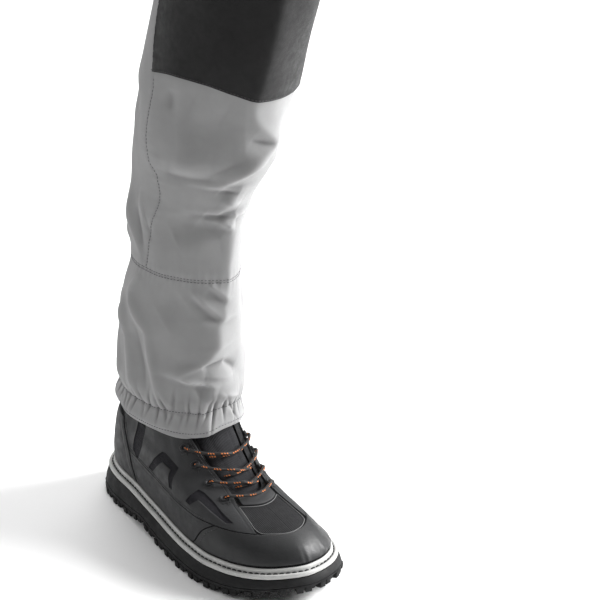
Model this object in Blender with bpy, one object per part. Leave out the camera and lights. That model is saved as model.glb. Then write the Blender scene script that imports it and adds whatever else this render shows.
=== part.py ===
"""Right wading boot with the lower leg of a breathable wader drawn over it.

The boot stands empty on its lugged sole, toe along +X, lateral side at -Y, floor at z = 0.
The origin is on the floor under the middle of the heel. Tables are in millimetres: a station
is the distance forward of the back of the heel.
"""

import bpy
import bmesh
import numpy as np
from math import pi

for old in list(bpy.data.objects):
    bpy.data.objects.remove(old, do_unlink=True)

# Driving sizes in millimetres
MM = 0.001
SOLE_LENGTH = 328.0
HEEL_REACH = 52.0
GAP = 0.3
MERGE = 0.01
LUG_DEPTH = 5.0
WELT_FLANGE = 8.0
UPPER_WALL = 2.2
INSOLE_THICK = 4.0
TONGUE_THICK = 4.0
OVERLAY_THICK = 1.05
FABRIC_WALL = 1.2
LACE_DIAMETER = 3.2
LEG_TOP = 562.0
GUARD_SEAM = 269.0

# How finely the curved forms are divided
SOLE_POINTS = 48
UPPER_COLUMNS = 42
LEG_COLUMNS = 28

# Plan of the welt's edge: half widths on the lateral and the medial side
OUTLINE = [
    # station, lateral, medial
    (0.0, 0.0, 0.0),
    (6.0, 14.5, 14.5),
    (26.0, 32.0, 31.0),
    (52.0, 40.0, 38.0),
    (83.0, 44.0, 39.4),
    (114.0, 49.0, 39.3),
    (146.0, 53.5, 41.0),
    (177.0, 59.0, 47.0),
    (208.0, 63.3, 54.6),
    (234.0, 64.5, 59.0),
    (260.0, 61.0, 60.0),
    (286.0, 52.4, 55.7),
    (307.0, 38.3, 44.7),
    (320.0, 22.0, 29.5),
    (328.0, 0.0, 0.0),
]

# Heights along the sole: underside of the lugs, top of the tread layer, underside of the welt
SOLE_HEIGHTS = [
    # station, ground, tread_top, welt_low
    (0.0, 4.0, 12.0, 26.0),
    (12.0, 0.0, 10.0, 26.0),
    (70.0, 0.0, 10.0, 25.6),
    (88.0, 1.2, 11.0, 25.2),
    (115.0, 6.0, 14.5, 23.8),
    (138.0, 2.4, 11.5, 22.2),
    (154.0, 0.0, 9.5, 21.2),
    (232.0, 0.0, 9.5, 20.0),
    (262.0, 1.6, 10.5, 20.8),
    (290.0, 5.5, 13.6, 22.8),
    (310.0, 9.0, 16.6, 25.0),
    (328.0, 13.0, 20.0, 27.5),
]

# Slices of the upper from the feather edge up to the collar and the tongue's tip
SLICES = [
    # front_x, front_z, back_x, back_z, follow, then the width at the heel, waist and ball:
    # lateral_heel, lateral_waist, lateral_ball, medial_heel, medial_waist, medial_ball
    (320.0, 27.0, 8.0, 26.0, 1.00, 1.00, 1.00, 1.00, 1.00, 1.00, 1.00),
    (319.5, 37.0, 8.2, 36.0, 1.00, 1.00, 1.00, 1.00, 1.00, 1.00, 1.00),
    (313.5, 48.0, 8.2, 48.0, 0.75, 1.00, 1.00, 0.99, 1.00, 1.05, 0.84),
    (300.0, 57.0, 9.5, 62.0, 0.45, 0.96, 0.97, 0.96, 0.99, 1.08, 0.71),
    (276.0, 63.5, 12.0, 76.0, 0.20, 0.90, 0.92, 0.91, 0.97, 1.10, 0.625),
    (250.0, 68.5, 15.5, 88.0, 0.10, 0.84, 0.87, 0.85, 0.95, 1.13, 0.61),
    (234.0, 72.5, 19.0, 96.0, 0.00, 0.77, 0.81, 0.76, 0.92, 1.17, 0.615),
    (218.0, 78.5, 23.0, 104.0, 0.00, 0.71, 0.75, 0.67, 0.90, 1.20, 0.645),
    (200.0, 90.0, 27.0, 116.0, 0.00, 0.67, 0.72, 0.59, 0.88, 1.25, 0.665),
    (183.0, 107.0, 30.0, 131.0, 0.00, 0.65, 0.70, 0.54, 0.87, 1.28, 0.655),
    (167.0, 128.0, 32.0, 149.0, 0.00, 0.64, 0.70, 0.53, 0.88, 1.30, 0.665),
    (155.0, 150.0, 33.0, 169.0, 0.00, 0.65, 0.72, 0.55, 0.90, 1.33, 0.70),
    (147.0, 168.0, 33.0, 186.0, 0.00, 0.65, 0.72, 0.55, 0.90, 1.33, 0.70),
]
THROAT_BASE = 6.0
COLLAR = 11.0
# Half width of the throat opening at its slice
THROAT = [
    # slice, half_width
    (6.0, 0.0),
    (6.05, 10.0),
    (6.3, 15.0),
    (7.0, 17.5),
    (8.0, 20.0),
    (9.0, 21.5),
    (11.0, 22.0),
    (12.0, 22.0),
]
# Slice positions that carry a row of the upper's mesh
UPPER_ROWS = [0.0, 1.0, 2.0, 3.0, 4.0, 5.0, 6.0, 6.05, 6.3, 7.0, 8.0, 9.0, 10.0, 11.0]

# Plan sections of the wader leg, hem to top. The rise lifts the front of a section over the instep
LEG = [
    # height, centre_x, centre_y, back, front, side, power, rise
    (107.0, 100.0, 6.0, 78.3, 88.0, 47.5, 2.15, 15.0),
    (114.0, 100.0, 6.0, 81.0, 89.0, 49.5, 2.15, 15.0),
    (130.0, 101.0, 7.0, 77.0, 85.0, 48.0, 2.10, 12.0),
    (140.0, 101.0, 7.5, 78.0, 82.0, 49.5, 2.05, 10.0),
    (171.0, 102.0, 8.5, 77.0, 75.0, 49.0, 2.00, 4.0),
    (206.0, 104.0, 9.0, 78.0, 75.0, 49.0, 2.00, 0.0),
    (240.0, 107.0, 10.0, 72.0, 71.0, 47.0, 2.00, 0.0),
    (271.0, 112.0, 11.0, 67.0, 67.0, 45.0, 2.00, 0.0),
    (312.0, 110.0, 13.0, 70.0, 70.0, 48.0, 2.00, 0.0),
    (342.0, 119.0, 14.0, 71.0, 71.0, 49.0, 2.00, 0.0),
    (372.0, 134.0, 16.0, 82.0, 76.0, 55.0, 2.00, 0.0),
    (396.0, 145.0, 17.0, 88.0, 82.0, 60.0, 2.00, 0.0),
    (440.0, 151.0, 19.0, 90.0, 84.0, 61.0, 2.00, 0.0),
    (471.0, 162.0, 20.0, 90.0, 86.0, 62.0, 2.00, 0.0),
    (562.0, 193.0, 23.0, 90.0, 86.0, 62.0, 2.00, 0.0),
]


def column(table, index):
    return np.array([row[index] for row in table], dtype=float)


def smooth(x, xs, ys):
    """Monotone cubic through the rows of a table."""
    step = np.diff(xs)
    slope = np.diff(ys) / step
    left = 2.0 * step[1:] + step[:-1]
    right = step[1:] + 2.0 * step[:-1]
    rising = slope[:-1] * slope[1:] > 0.0
    first = np.where(rising, slope[:-1], 1.0)
    second = np.where(rising, slope[1:], 1.0)
    tangent = np.concatenate(([slope[0]], np.zeros(len(xs) - 2), [slope[-1]]))
    tangent[1:-1] = np.where(rising, (left + right) / (left / first + right / second), 0.0)
    x = np.clip(np.asarray(x, dtype=float), xs[0], xs[-1])
    i = np.clip(np.searchsorted(xs, x, side="right") - 1, 0, len(xs) - 2)
    t = (x - xs[i]) / step[i]
    value = (1.0 + 2.0 * t) * (1.0 - t) ** 2 * ys[i]
    value = value + t * (1.0 - t) ** 2 * step[i] * tangent[i]
    value = value + t * t * (3.0 - 2.0 * t) * ys[i + 1]
    return value + t * t * (t - 1.0) * step[i] * tangent[i + 1]


def along(table, index, x):
    return smooth(x, column(table, 0), column(table, index))


# Meshes and materials
def material(name, colour, roughness, metallic=0.0):
    made = bpy.data.materials.new(name)
    made.use_nodes = True
    shader = made.node_tree.nodes["Principled BSDF"]
    shader.inputs["Base Color"].default_value = (*colour, 1.0)
    shader.inputs["Roughness"].default_value = roughness
    shader.inputs["Metallic"].default_value = metallic
    return made


RUBBER = material("tread_rubber", (0.030, 0.031, 0.032), 0.75)
FOAM = material("midsole_black", (0.010, 0.010, 0.011), 0.70)
WELT_GREY = material("welt_grey", (0.42, 0.42, 0.41), 0.55)
BOARD = material("footbed_grey", (0.06, 0.06, 0.06), 0.90)
SYNTHETIC = material("boot_synthetic", (0.036, 0.038, 0.041), 0.60)
PADDING = material("tongue_fabric", (0.024, 0.025, 0.027), 0.85)
CORD = material("lace_cord", (0.055, 0.052, 0.050), 0.80)
FABRIC = material("wader_fabric", (0.46, 0.46, 0.46), 0.75)
KNEE_FABRIC = material("knee_fabric", (0.026, 0.026, 0.028), 0.80)


def add_object(name, points, faces, made):
    """One closed body from points in millimetres, stations counted from the heel's back."""
    mesh = bpy.data.meshes.new(name)
    placed = (np.asarray(points, dtype=float) - (HEEL_REACH, 0.0, 0.0)) * MM
    mesh.from_pydata([tuple(p) for p in placed], [], faces)
    work = bmesh.new()
    work.from_mesh(mesh)
    bmesh.ops.remove_doubles(work, verts=work.verts, dist=MERGE * MM)
    bmesh.ops.recalc_face_normals(work, faces=work.faces)
    work.to_mesh(mesh)
    work.free()
    mesh.materials.append(made)
    mesh.shade_smooth()
    mesh.set_sharp_from_angle(angle=0.7)
    body = bpy.data.objects.new(name, mesh)
    bpy.context.scene.collection.objects.link(body)
    return body


def stacked_rings(name, rings, made):
    """Closed rings one above the other, with their two ends bridged across from side to side."""
    count = len(rings[0])
    faces = []
    for level in range(len(rings) - 1):
        for j in range(count):
            k = (j + 1) % count
            low = level * count
            high = low + count
            faces.append((low + j, low + k, high + k, high + j))
    half = count // 2
    for base in (0, (len(rings) - 1) * count):
        for j in range(half):
            one = (base + j, base + j + 1, base + (count - j - 1) % count, base + (count - j) % count)
            faces.append(tuple(dict.fromkeys(one)))
    return add_object(name, np.concatenate(rings), faces, made)


def shell(name, outer, inner, made, wrap):
    """A sheet with thickness: two grids of rows and columns, joined along every free edge."""
    rows = len(outer)
    columns = len(outer[0])
    layer = rows * columns
    faces = []
    last = columns if wrap else columns - 1
    for r in range(rows - 1):
        for c in range(last):
            d = (c + 1) % columns
            one, two = r * columns + c, r * columns + d
            three, four = two + columns, one + columns
            faces.append((one, two, three, four))
            faces.append((layer + one, layer + four, layer + three, layer + two))
    for r in (0, rows - 1):
        for c in range(last):
            a = r * columns + c
            b = r * columns + (c + 1) % columns
            faces.append((a, b, layer + b, layer + a))
    if not wrap:
        for c in (0, columns - 1):
            for r in range(rows - 1):
                a = r * columns + c
                b = a + columns
                faces.append((a, b, layer + b, layer + a))
    points = np.concatenate([np.concatenate(outer), np.concatenate(inner)])
    return add_object(name, points, faces, made)


# Sole
def outline(theta, inset=0.0):
    """Plan of the welt's edge. Angle 0 is the toe, pi the heel; positive angles are medial."""

    def edge(angle):
        angle = (np.asarray(angle) + pi) % (2.0 * pi) - pi
        run = 1.0 - np.abs(angle) / pi
        rows = np.arccos(1.0 - 2.0 * column(OUTLINE, 0) / SOLE_LENGTH) / pi
        lateral = -smooth(run, rows, column(OUTLINE, 1))
        medial = smooth(run, rows, column(OUTLINE, 2))
        station = SOLE_LENGTH * (1.0 + np.cos(angle)) / 2.0
        return np.stack([station, np.where(angle < 0.0, lateral, medial)], 1)

    here = edge(theta)
    ahead = edge(np.asarray(theta) + 0.01) - edge(np.asarray(theta) - 0.01)
    ahead = ahead / np.linalg.norm(ahead, axis=1)[:, None]
    outward = np.stack([ahead[:, 1], -ahead[:, 0]], 1)
    return here - inset * outward


def angles(count):
    return np.arange(count) * 2.0 * pi / count


def sole_ring(inset, height, count=SOLE_POINTS):
    plan = outline(angles(count), inset)
    return np.column_stack([plan, height(plan[:, 0])])


def ground(x):
    return along(SOLE_HEIGHTS, 1, x)


def tread_top(x):
    return along(SOLE_HEIGHTS, 2, x)


def welt_low(x):
    return along(SOLE_HEIGHTS, 3, x)


outsole = stacked_rings(
    "outsole",
    [
        sole_ring(-2.6, lambda x: ground(x) + LUG_DEPTH),
        sole_ring(-4.4, lambda x: ground(x) + LUG_DEPTH + 1.4),
        sole_ring(-3.8, tread_top),
    ],
    RUBBER,
)

midsole = stacked_rings(
    "midsole",
    [
        sole_ring(-2.9, lambda x: tread_top(x) + GAP),
        sole_ring(-2.0, lambda x: 0.55 * tread_top(x) + 0.45 * welt_low(x)),
        sole_ring(-1.2, lambda x: 0.45 * tread_top(x) + 0.55 * welt_low(x)),
        sole_ring(0.6, lambda x: welt_low(x) - GAP),
    ],
    FOAM,
)

insole = stacked_rings(
    "insole",
    [
        sole_ring(WELT_FLANGE + UPPER_WALL + 0.8, welt_low, 40),
        sole_ring(WELT_FLANGE + UPPER_WALL + 0.8, lambda x: welt_low(x) + INSOLE_THICK, 40),
    ],
    BOARD,
)

# Section of the welt: an outer bead, a stitch groove and an upright bead against the upper
WELT_SECTION = [
    # inset, rise
    (1.0, 0.0),
    (0.0, 1.0),
    (0.2, 3.8),
    (1.4, 4.8),
    (3.2, 4.6),
    (3.8, 3.8),
    (4.8, 3.9),
    (5.2, 7.8),
    (6.2, 9.0),
    (7.7, 9.0),
    (7.7, 0.0),
]


def make_welt():
    count = UPPER_COLUMNS
    rings = [sole_ring(inset, lambda x, up=rise: welt_low(x) + up, count) for inset, rise in WELT_SECTION]
    sides = len(rings)
    faces = []
    for level in range(sides):
        for j in range(count):
            k = (j + 1) % count
            low = level * count
            high = (level + 1) % sides * count
            faces.append((low + j, low + k, high + k, high + j))
    return add_object("welt", np.concatenate(rings), faces, WELT_GREY)


welt = make_welt()


# Upper
def upper_point(v, theta):
    """Outer face of the upper at slice v; angle 0 is the front, positive angles are medial."""
    theta = np.asarray(theta, dtype=float)
    rows = np.arange(len(SLICES), dtype=float)
    values = [smooth(v, rows, column(SLICES, i)) for i in range(11)]
    front_x, front_z, back_x, back_z, follow = values[:5]
    plan = outline(theta, WELT_FLANGE)
    run = np.clip((plan[:, 0] - WELT_FLANGE) / (SOLE_LENGTH - 2.0 * WELT_FLANGE), 0.0, 1.0)
    posts = np.array([0.0, 0.14, 0.40, 0.72, 1.0])
    lateral = smooth(run, posts, np.array([values[5], values[5], values[6], values[7], values[7]]))
    medial = smooth(run, posts, np.array([values[8], values[8], values[9], values[10], values[10]]))
    x = back_x + run * (front_x - back_x)
    y = plan[:, 1] * np.where(plan[:, 1] < 0.0, lateral, medial)
    low_front = welt_low(SOLE_LENGTH - WELT_FLANGE)
    low_back = welt_low(WELT_FLANGE)
    chord = low_back + run * (low_front - low_back)
    z = back_z + run * (front_z - back_z) + follow * (welt_low(x) - chord)
    return np.stack([x, y, z], 1)


def upper_face(v, theta, lift=0.0):
    """The same face moved along its outward normal."""
    theta = np.asarray(theta, dtype=float)
    top = float(len(SLICES) - 1)
    here = upper_point(v, theta)
    if lift == 0.0:
        return here
    rise = upper_point(min(v + 0.12, top), theta) - upper_point(max(v - 0.12, 0.0), theta)
    turn = upper_point(v, theta + 0.03) - upper_point(v, theta - 0.03)
    normal = np.cross(turn, rise)
    normal = normal / np.linalg.norm(normal, axis=1)[:, None]
    return here + lift * normal


def throat_angle(v, side, extra=0.0):
    """Angle at which the slice is as far from the centre line as the throat's edge."""
    half = float(smooth(v, column(THROAT, 0), column(THROAT, 1))) + extra
    sweep = np.linspace(0.0, 1.6, 400)
    away = np.abs(upper_point(v, side * sweep)[:, 1])
    widest = int(np.argmax(away))
    return float(np.interp(half, away[:widest], sweep[:widest]))


def row_angles(v, columns):
    share = np.linspace(0.0, 1.0, columns + 1)
    if v <= THROAT_BASE:
        return share * 2.0 * pi
    start = throat_angle(v, 1.0)
    end = 2.0 * pi - throat_angle(v, -1.0)
    return start + share * (end - start)


def make_upper():
    """Hollow upper: closed rings below the throat, open ones above it, and nothing underneath."""
    columns = UPPER_COLUMNS
    base = UPPER_ROWS.index(THROAT_BASE)
    points = []
    for lift in (0.0, -UPPER_WALL):
        for v in UPPER_ROWS:
            ring = upper_face(v, row_angles(v, columns), lift)
            if v == 0.0:
                ring[:, 2] = upper_point(v, row_angles(v, columns))[:, 2]
            points.append(ring)
    rows = len(UPPER_ROWS)

    def at(layer, r, c):
        if r <= base and c == columns:
            c = 0
        return (layer * rows + r) * (columns + 1) + c

    faces = []
    for r in range(rows - 1):
        for c in range(columns):
            faces.append((at(0, r, c), at(0, r, c + 1), at(0, r + 1, c + 1), at(0, r + 1, c)))
            faces.append((at(1, r, c), at(1, r + 1, c), at(1, r + 1, c + 1), at(1, r, c + 1)))
    for r in (0, rows - 1):
        for c in range(columns):
            faces.append((at(0, r, c), at(0, r, c + 1), at(1, r, c + 1), at(1, r, c)))
    for r in range(base, rows - 1):
        for c in (0, columns):
            faces.append((at(0, r, c), at(0, r + 1, c), at(1, r + 1, c), at(1, r, c)))
    used = sorted({i for face in faces for i in face})
    index = {old: new for new, old in enumerate(used)}
    points = np.concatenate(points)[used]
    faces = [tuple(index[i] for i in face) for face in faces]
    return add_object("upper", points, faces, SYNTHETIC)


upper = make_upper()


# Tongue: its rows in the upper's slices, how far it reaches under the eyestays, how deep it lies
# under the wall, and the crown that it has between the eyestays above its first rows
TONGUE_ROWS = [5.3, 5.8, 6.3, 7.0, 8.0, 9.0, 10.0, 11.0, 11.6]
TONGUE_TUCK = 7.0
TONGUE_SEAT = GAP + 0.9
TONGUE_CROWN = 3.0
CROWN_SHARE = 0.55
CROWN_FROM = 6.5


def make_tongue():
    """Padded tongue under the throat, a little proud between the eyestays."""
    outer = []
    inner = []
    share = np.linspace(-1.0, 1.0, 9)
    base = -(UPPER_WALL + TONGUE_SEAT)
    for v in TONGUE_ROWS:
        left = throat_angle(max(v, 6.3), -1.0, TONGUE_TUCK)
        right = throat_angle(max(v, 6.3), 1.0, TONGUE_TUCK)
        theta = np.where(share < 0.0, share * left, share * right)
        crown = TONGUE_CROWN if v > CROWN_FROM else 0.0
        puff = crown * np.clip(1.0 - (share / CROWN_SHARE) ** 2, 0.0, 1.0)
        face = upper_face(v, theta)
        deep = upper_face(v, theta, -1.0) - face
        outer.append(face - deep * (base + puff)[:, None])
        inner.append(face - deep * (base - TONGUE_THICK))
    return shell("tongue", outer, inner, PADDING, False)


tongue = make_tongue()


# Wader leg
def leg_point(z, phi, lift=0.0):
    """Outer face of the leg at height z; angle 0 is the front, positive angles are medial."""
    phi = np.asarray(phi, dtype=float)
    centre_x, centre_y, back, front, side, power, rise = [float(along(LEG, i, z)) for i in range(1, 8)]
    ahead = np.sign(np.cos(phi)) * np.abs(np.cos(phi)) ** (2.0 / power)
    across = np.sign(np.sin(phi)) * np.abs(np.sin(phi)) ** (2.0 / power)
    x = centre_x + (np.where(ahead > 0.0, front, back) + lift) * ahead
    y = centre_y + (side + lift) * across
    return np.stack([x, y, z + rise * np.clip(ahead, 0.0, 1.0) ** 2], 1)


def make_leg(name, heights, made):
    phi = angles(LEG_COLUMNS)
    outer = [leg_point(z, phi) for z in heights]
    inner = [leg_point(z, phi, -FABRIC_WALL) for z in heights]
    return shell(name, outer, inner, made, True)


GUARD_ROWS = [107.0, 114.0, 122.0, 130.0, 140.0, 155.0, 175.0, 206.0, 230.0, 250.0]
SHELL_ROWS = [290.0, 312.0, 328.0, 342.0, 357.0, 372.0, 384.0, 396.0, 418.0, 440.0, 471.0, 515.0]
gravel_guard = make_leg("gravel_guard", GUARD_ROWS + [GUARD_SEAM - GAP], FABRIC)
leg_shell = make_leg("leg_shell", [GUARD_SEAM] + SHELL_ROWS + [LEG_TOP], FABRIC)

# Lower edge of the knee panel around the front of the leg
KNEE_EDGE = [
    # angle, height
    (-1.80, 469.0),
    (-1.45, 473.0),
    (-1.00, 470.0),
    (-0.60, 463.0),
    (-0.20, 456.0),
    (0.50, 454.0),
    (1.20, 460.0),
    (1.80, 464.0),
]
KNEE_HALF = 1.80
KNEE_SPREAD = 0.27
KNEE_SEAT = 0.9
KNEE_THICK = 0.9


def make_knee_panel():
    """Reinforcement on the front of the leg, divided like the leg and a touch wider towards the top."""
    outer = []
    inner = []
    step = 2.0 * pi / LEG_COLUMNS
    reach = int(np.ceil((KNEE_HALF + KNEE_SPREAD) / step))
    grid = np.arange(-reach, reach + 1) * step
    low = along(KNEE_EDGE, 1, np.clip(grid, -KNEE_HALF, KNEE_HALF))
    for share in (0.0, 0.33, 0.67, 1.0):
        widest = KNEE_HALF + KNEE_SPREAD * share
        phi = np.clip(grid, -widest, widest)
        heights = low + share * (LEG_TOP - low)
        for face, lift in ((outer, KNEE_SEAT + KNEE_THICK), (inner, KNEE_SEAT)):
            face.append(np.array([leg_point(z, [turn], lift)[0] for z, turn in zip(heights, phi)]))
    return shell("knee_panel", outer, inner, KNEE_FABRIC, False)


knee_panel = make_knee_panel()

# Edges of the boot's overlays in the upper's own slices and angles
CAP_EDGE = [
    # slice, angle
    (1.0, 1.25),
    (2.4, 1.10),
    (3.2, 0.92),
]
COUNTER_EDGE = [
    # slice, angle
    (1.0, 2.05),
    (3.1, 2.15),
    (5.6, 2.29),
    (6.6, 2.35),
]
QUARTER_FRONT = [
    # slice, angle
    (3.2, 0.50),
    (5.0, 0.44),
    (5.9, 0.42),
    (6.3, 0.42),
    (7.0, 0.46),
    (8.0, 0.57),
    (9.0, 0.70),
    (9.6, 0.79),
]
OVERLAY_SEAT = 0.85
OVERLAY_LOW = 1.04
RAND_TOP = 3.14
COUNTER_TOP = 5.7
QUARTER_LOW = 3.24
QUARTER_TOP = 9.6
BRIDGE_LOW = 4.95
BRIDGE_TOP = 5.86
BRIDGE_HALF = 0.38
SEAM = 0.012


def overlay(name, low, high, first, last):
    """A panel on the upper between two slices and two edges, divided where the upper is divided."""
    slices = [low]
    for v in UPPER_ROWS + [high]:
        if slices[-1] + 0.2 < v < high - 0.1 or v == high:
            slices.append(v)
    step = 2.0 * pi / UPPER_COLUMNS
    start = int(np.floor(min(first(v) for v in slices) / step))
    stop = int(np.ceil(max(last(v) for v in slices) / step))
    grid = np.arange(start, stop + 1) * step
    outer = []
    inner = []
    for v in slices:
        theta = np.clip(grid, first(v), last(v))
        inner.append(upper_face(v, theta, OVERLAY_SEAT))
        outer.append(upper_face(v, theta, OVERLAY_SEAT + OVERLAY_THICK))
    return shell(name, outer, inner, SYNTHETIC, False)


def cap_edge(v):
    return float(along(CAP_EDGE, 1, v))


def counter_edge(v):
    return float(along(COUNTER_EDGE, 1, v))


def quarter_front(v):
    return float(along(QUARTER_FRONT, 1, v))


toe_cap = overlay("toe_cap", OVERLAY_LOW, RAND_TOP, lambda v: -cap_edge(v), cap_edge)
heel_counter = overlay(
    "heel_counter",
    OVERLAY_LOW,
    COUNTER_TOP,
    lambda v: counter_edge(v) + SEAM,
    lambda v: 2.0 * pi - counter_edge(v) - SEAM,
)
throat_bridge = overlay(
    "throat_bridge",
    BRIDGE_LOW,
    BRIDGE_TOP,
    lambda v: -BRIDGE_HALF,
    lambda v: BRIDGE_HALF,
)
rand_lateral = overlay(
    "rand_lateral",
    OVERLAY_LOW,
    RAND_TOP,
    lambda v: SEAM - counter_edge(v),
    lambda v: -cap_edge(v) - 2.0 * SEAM,
)
rand_medial = overlay(
    "rand_medial",
    OVERLAY_LOW,
    RAND_TOP,
    lambda v: cap_edge(v) + 2.0 * SEAM,
    lambda v: counter_edge(v) - SEAM,
)
quarter_lateral = overlay(
    "quarter_lateral",
    QUARTER_LOW,
    QUARTER_TOP,
    lambda v: SEAM - counter_edge(v),
    lambda v: -quarter_front(v),
)
quarter_medial = overlay(
    "quarter_medial",
    QUARTER_LOW,
    QUARTER_TOP,
    quarter_front,
    lambda v: counter_edge(v) - SEAM,
)
panels = [quarter_lateral, quarter_medial]

# Mesh windows in the quarters: each is a bent band seen from the side
WINDOWS = [
    # station and height of each corner, one row for each window
    [(117.5, 65.5), (137.5, 89.0), (143.0, 90.0), (168.5, 84.5), (172.0, 66.0)]
    + [(165.5, 65.5), (161.0, 80.5), (144.5, 82.0), (126.5, 65.0)],
    [(198.0, 65.5), (203.0, 76.0), (210.0, 75.0), (258.0, 62.6)]
    + [(251.5, 61.6), (215.0, 69.5), (211.0, 70.0), (205.5, 64.5)],
]


def window_cutters():
    """Prisms across the boot with the outline of each bent band."""
    cutters = []
    for number, loop in enumerate(WINDOWS):
        count = len(loop)
        points = [(x, y, z) for y in (-90.0, 90.0) for x, z in loop]
        faces = [tuple(range(count)), tuple(reversed(range(count, 2 * count)))]
        faces += [(j, (j + 1) % count, count + (j + 1) % count, count + j) for j in range(count)]
        cutter = add_object("window_cutter_%d" % number, points, faces, SYNTHETIC)
        cutter.hide_render = True
        cutter.display_type = "WIRE"
        cutters.append(cutter)
    return cutters


for cutter in window_cutters():
    for panel in panels:
        cut = panel.modifiers.new(cutter.name, "BOOLEAN")
        cut.operation = "DIFFERENCE"
        cut.object = cutter

# Eyelets and lace
EYELETS = [
    # lateral_slice, lateral_angle, medial_slice, medial_angle
    (5.40, -0.55, 5.65, 0.50),
    (6.65, -0.66, 6.75, 0.59),
    (7.65, -0.79, 7.70, 0.70),
    (8.42, -0.89, 8.45, 0.74),
]
EYELET_LONG = 5.0
EYELET_TALL = 3.6
EYELET_THICK = 1.1
EYELET_SEAT = OVERLAY_SEAT + OVERLAY_THICK + 0.7


def frame_on_upper(v, theta):
    """Point on the upper with its directions forward around the slice, up the slices and out."""
    spot = upper_point(v, [theta])[0]
    turn = upper_point(v, [theta + 0.03])[0] - upper_point(v, [theta - 0.03])[0]
    rise = upper_point(v + 0.12, [theta])[0] - upper_point(v - 0.12, [theta])[0]
    out = np.cross(turn, rise)
    out = out / np.linalg.norm(out)
    up = rise - out * np.dot(rise, out)
    up = up / np.linalg.norm(up)
    return spot, np.cross(up, out), up, out


def make_eyelet(name, v, theta):
    """Moulded frame around a lace slot."""
    spot, ahead, up, out = frame_on_upper(v, theta)
    turn = angles(6)
    rings = []
    for share, lift in ((1.0, 0.0), (1.0, 1.0), (0.5, 1.0), (0.5, 0.0)):
        flat = [EYELET_LONG * share * np.cos(a) * ahead + EYELET_TALL * share * np.sin(a) * up for a in turn]
        rings.append(np.array(flat) + spot + (EYELET_SEAT + lift * EYELET_THICK) * out)
    faces = []
    for level in range(4):
        for j in range(6):
            k = (j + 1) % 6
            high = (level + 1) % 4
            faces.append((level * 6 + j, level * 6 + k, high * 6 + k, high * 6 + j))
    return add_object(name, np.concatenate(rings), faces, SYNTHETIC)


for pair, row in enumerate(EYELETS):
    make_eyelet("eyelet_lateral_%d" % (pair + 1), row[0], row[1])
    make_eyelet("eyelet_medial_%d" % (pair + 1), row[2], row[3])

LACE_OVER = EYELET_SEAT + EYELET_THICK + LACE_DIAMETER / 2.0 + 0.8
LACE_TUCK = 3.6
LACE_LOW = 1.9
TUCK_LOWEST = 6.5
LACE_CLIMB = 0.65


def lace_route(first, last, tucked):
    """Path from one eyelet to another, with its first end under the eyestay's edge if tucked."""
    share = np.linspace(0.0, 1.0, 8)
    begin, start = first
    if tucked:
        side = np.sign(start)
        begin = max(begin + LACE_CLIMB, TUCK_LOWEST)
        start = side * throat_angle(begin, side, -LACE_TUCK)
    v = begin + share * (last[0] - begin)
    theta = start + share * (last[1] - start)
    low = LACE_LOW if tucked else LACE_OVER
    lift = low + (LACE_OVER - low) * np.clip(share * 2.2, 0.0, 1.0)
    return np.array([upper_face(a, [b], c)[0] for a, b, c in zip(v, theta, lift)])


def lace_tube(name, path):
    """Six-sided cord along a path, with closed ends."""
    ahead = np.gradient(path, axis=0)
    ahead = ahead / np.linalg.norm(ahead, axis=1)[:, None]
    side = np.cross(ahead, (0.0, 0.0, 1.0))
    side = side / np.linalg.norm(side, axis=1)[:, None]
    up = np.cross(side, ahead)
    radius = LACE_DIAMETER / 2.0
    rings = [path + radius * (np.cos(a) * side + np.sin(a) * up) for a in angles(6)]
    count = len(path)
    faces = [tuple(j * count for j in range(6)), tuple(j * count + count - 1 for j in reversed(range(6)))]
    for j in range(6):
        k = (j + 1) % 6
        for i in range(count - 1):
            faces.append((j * count + i, k * count + i, k * count + i + 1, j * count + i + 1))
    return add_object(name, np.concatenate(rings), faces, CORD)


def make_laces():
    """A bar over the throat's base, then a crossing of two strands between each two pairs of eyelets."""
    lateral = [(row[0], row[1]) for row in EYELETS]
    medial = [(row[2], row[3]) for row in EYELETS]
    lace_tube("lace_bar", lace_route(lateral[0], medial[0], False))
    for pair in range(len(EYELETS) - 1):
        crossing = lace_tube("lace_cross_%d" % (pair + 1), lace_route(medial[pair], lateral[pair + 1], True))
        strand = lace_tube("lace_strand_%d" % (pair + 1), lace_route(lateral[pair], medial[pair + 1], True))
        strand.hide_render = True
        strand.display_type = "WIRE"
        join = crossing.modifiers.new("crossing", "BOOLEAN")
        join.operation = "UNION"
        join.object = strand


make_laces()

# Lugs under the sole
RIM_LUGS = 32
RIM_START = 0.18
RIM_OUTSIDE = -3.9
RIM_SHORT = 9.0
RIM_LONG = 14.0
LUG_SHARE = 0.64
LUG_DRAFT = 0.93
CENTRE_LUGS = [
    # station, half_length, inner, outer, sweep
    (30.0, 7.0, -11.0, 11.0, 0.0),
    (52.0, 9.0, -12.0, 12.0, 0.0),
    (76.0, 8.0, -13.0, 13.0, 0.0),
    (160.0, 6.5, 3.0, 22.0, 6.0),
    (182.0, 6.5, 3.0, 26.0, 6.0),
    (204.0, 6.5, 3.0, 30.0, 6.0),
    (226.0, 6.5, 3.0, 32.0, 6.0),
    (248.0, 6.5, 3.0, 32.0, 6.0),
    (270.0, 6.5, 3.0, 26.0, 6.0),
    (290.0, 6.0, 3.0, 18.0, 4.0),
]


def lug_prism(corners):
    """Block under the tread layer, drawn in a little towards its foot."""
    corners = np.array(corners)
    middle = corners.mean(axis=0)
    foot = middle + (corners - middle) * LUG_DRAFT
    low = np.column_stack([foot, ground(foot[:, 0])])
    high = np.column_stack([corners, ground(corners[:, 0]) + LUG_DEPTH + 1.0])
    return np.concatenate([low, high])


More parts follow.
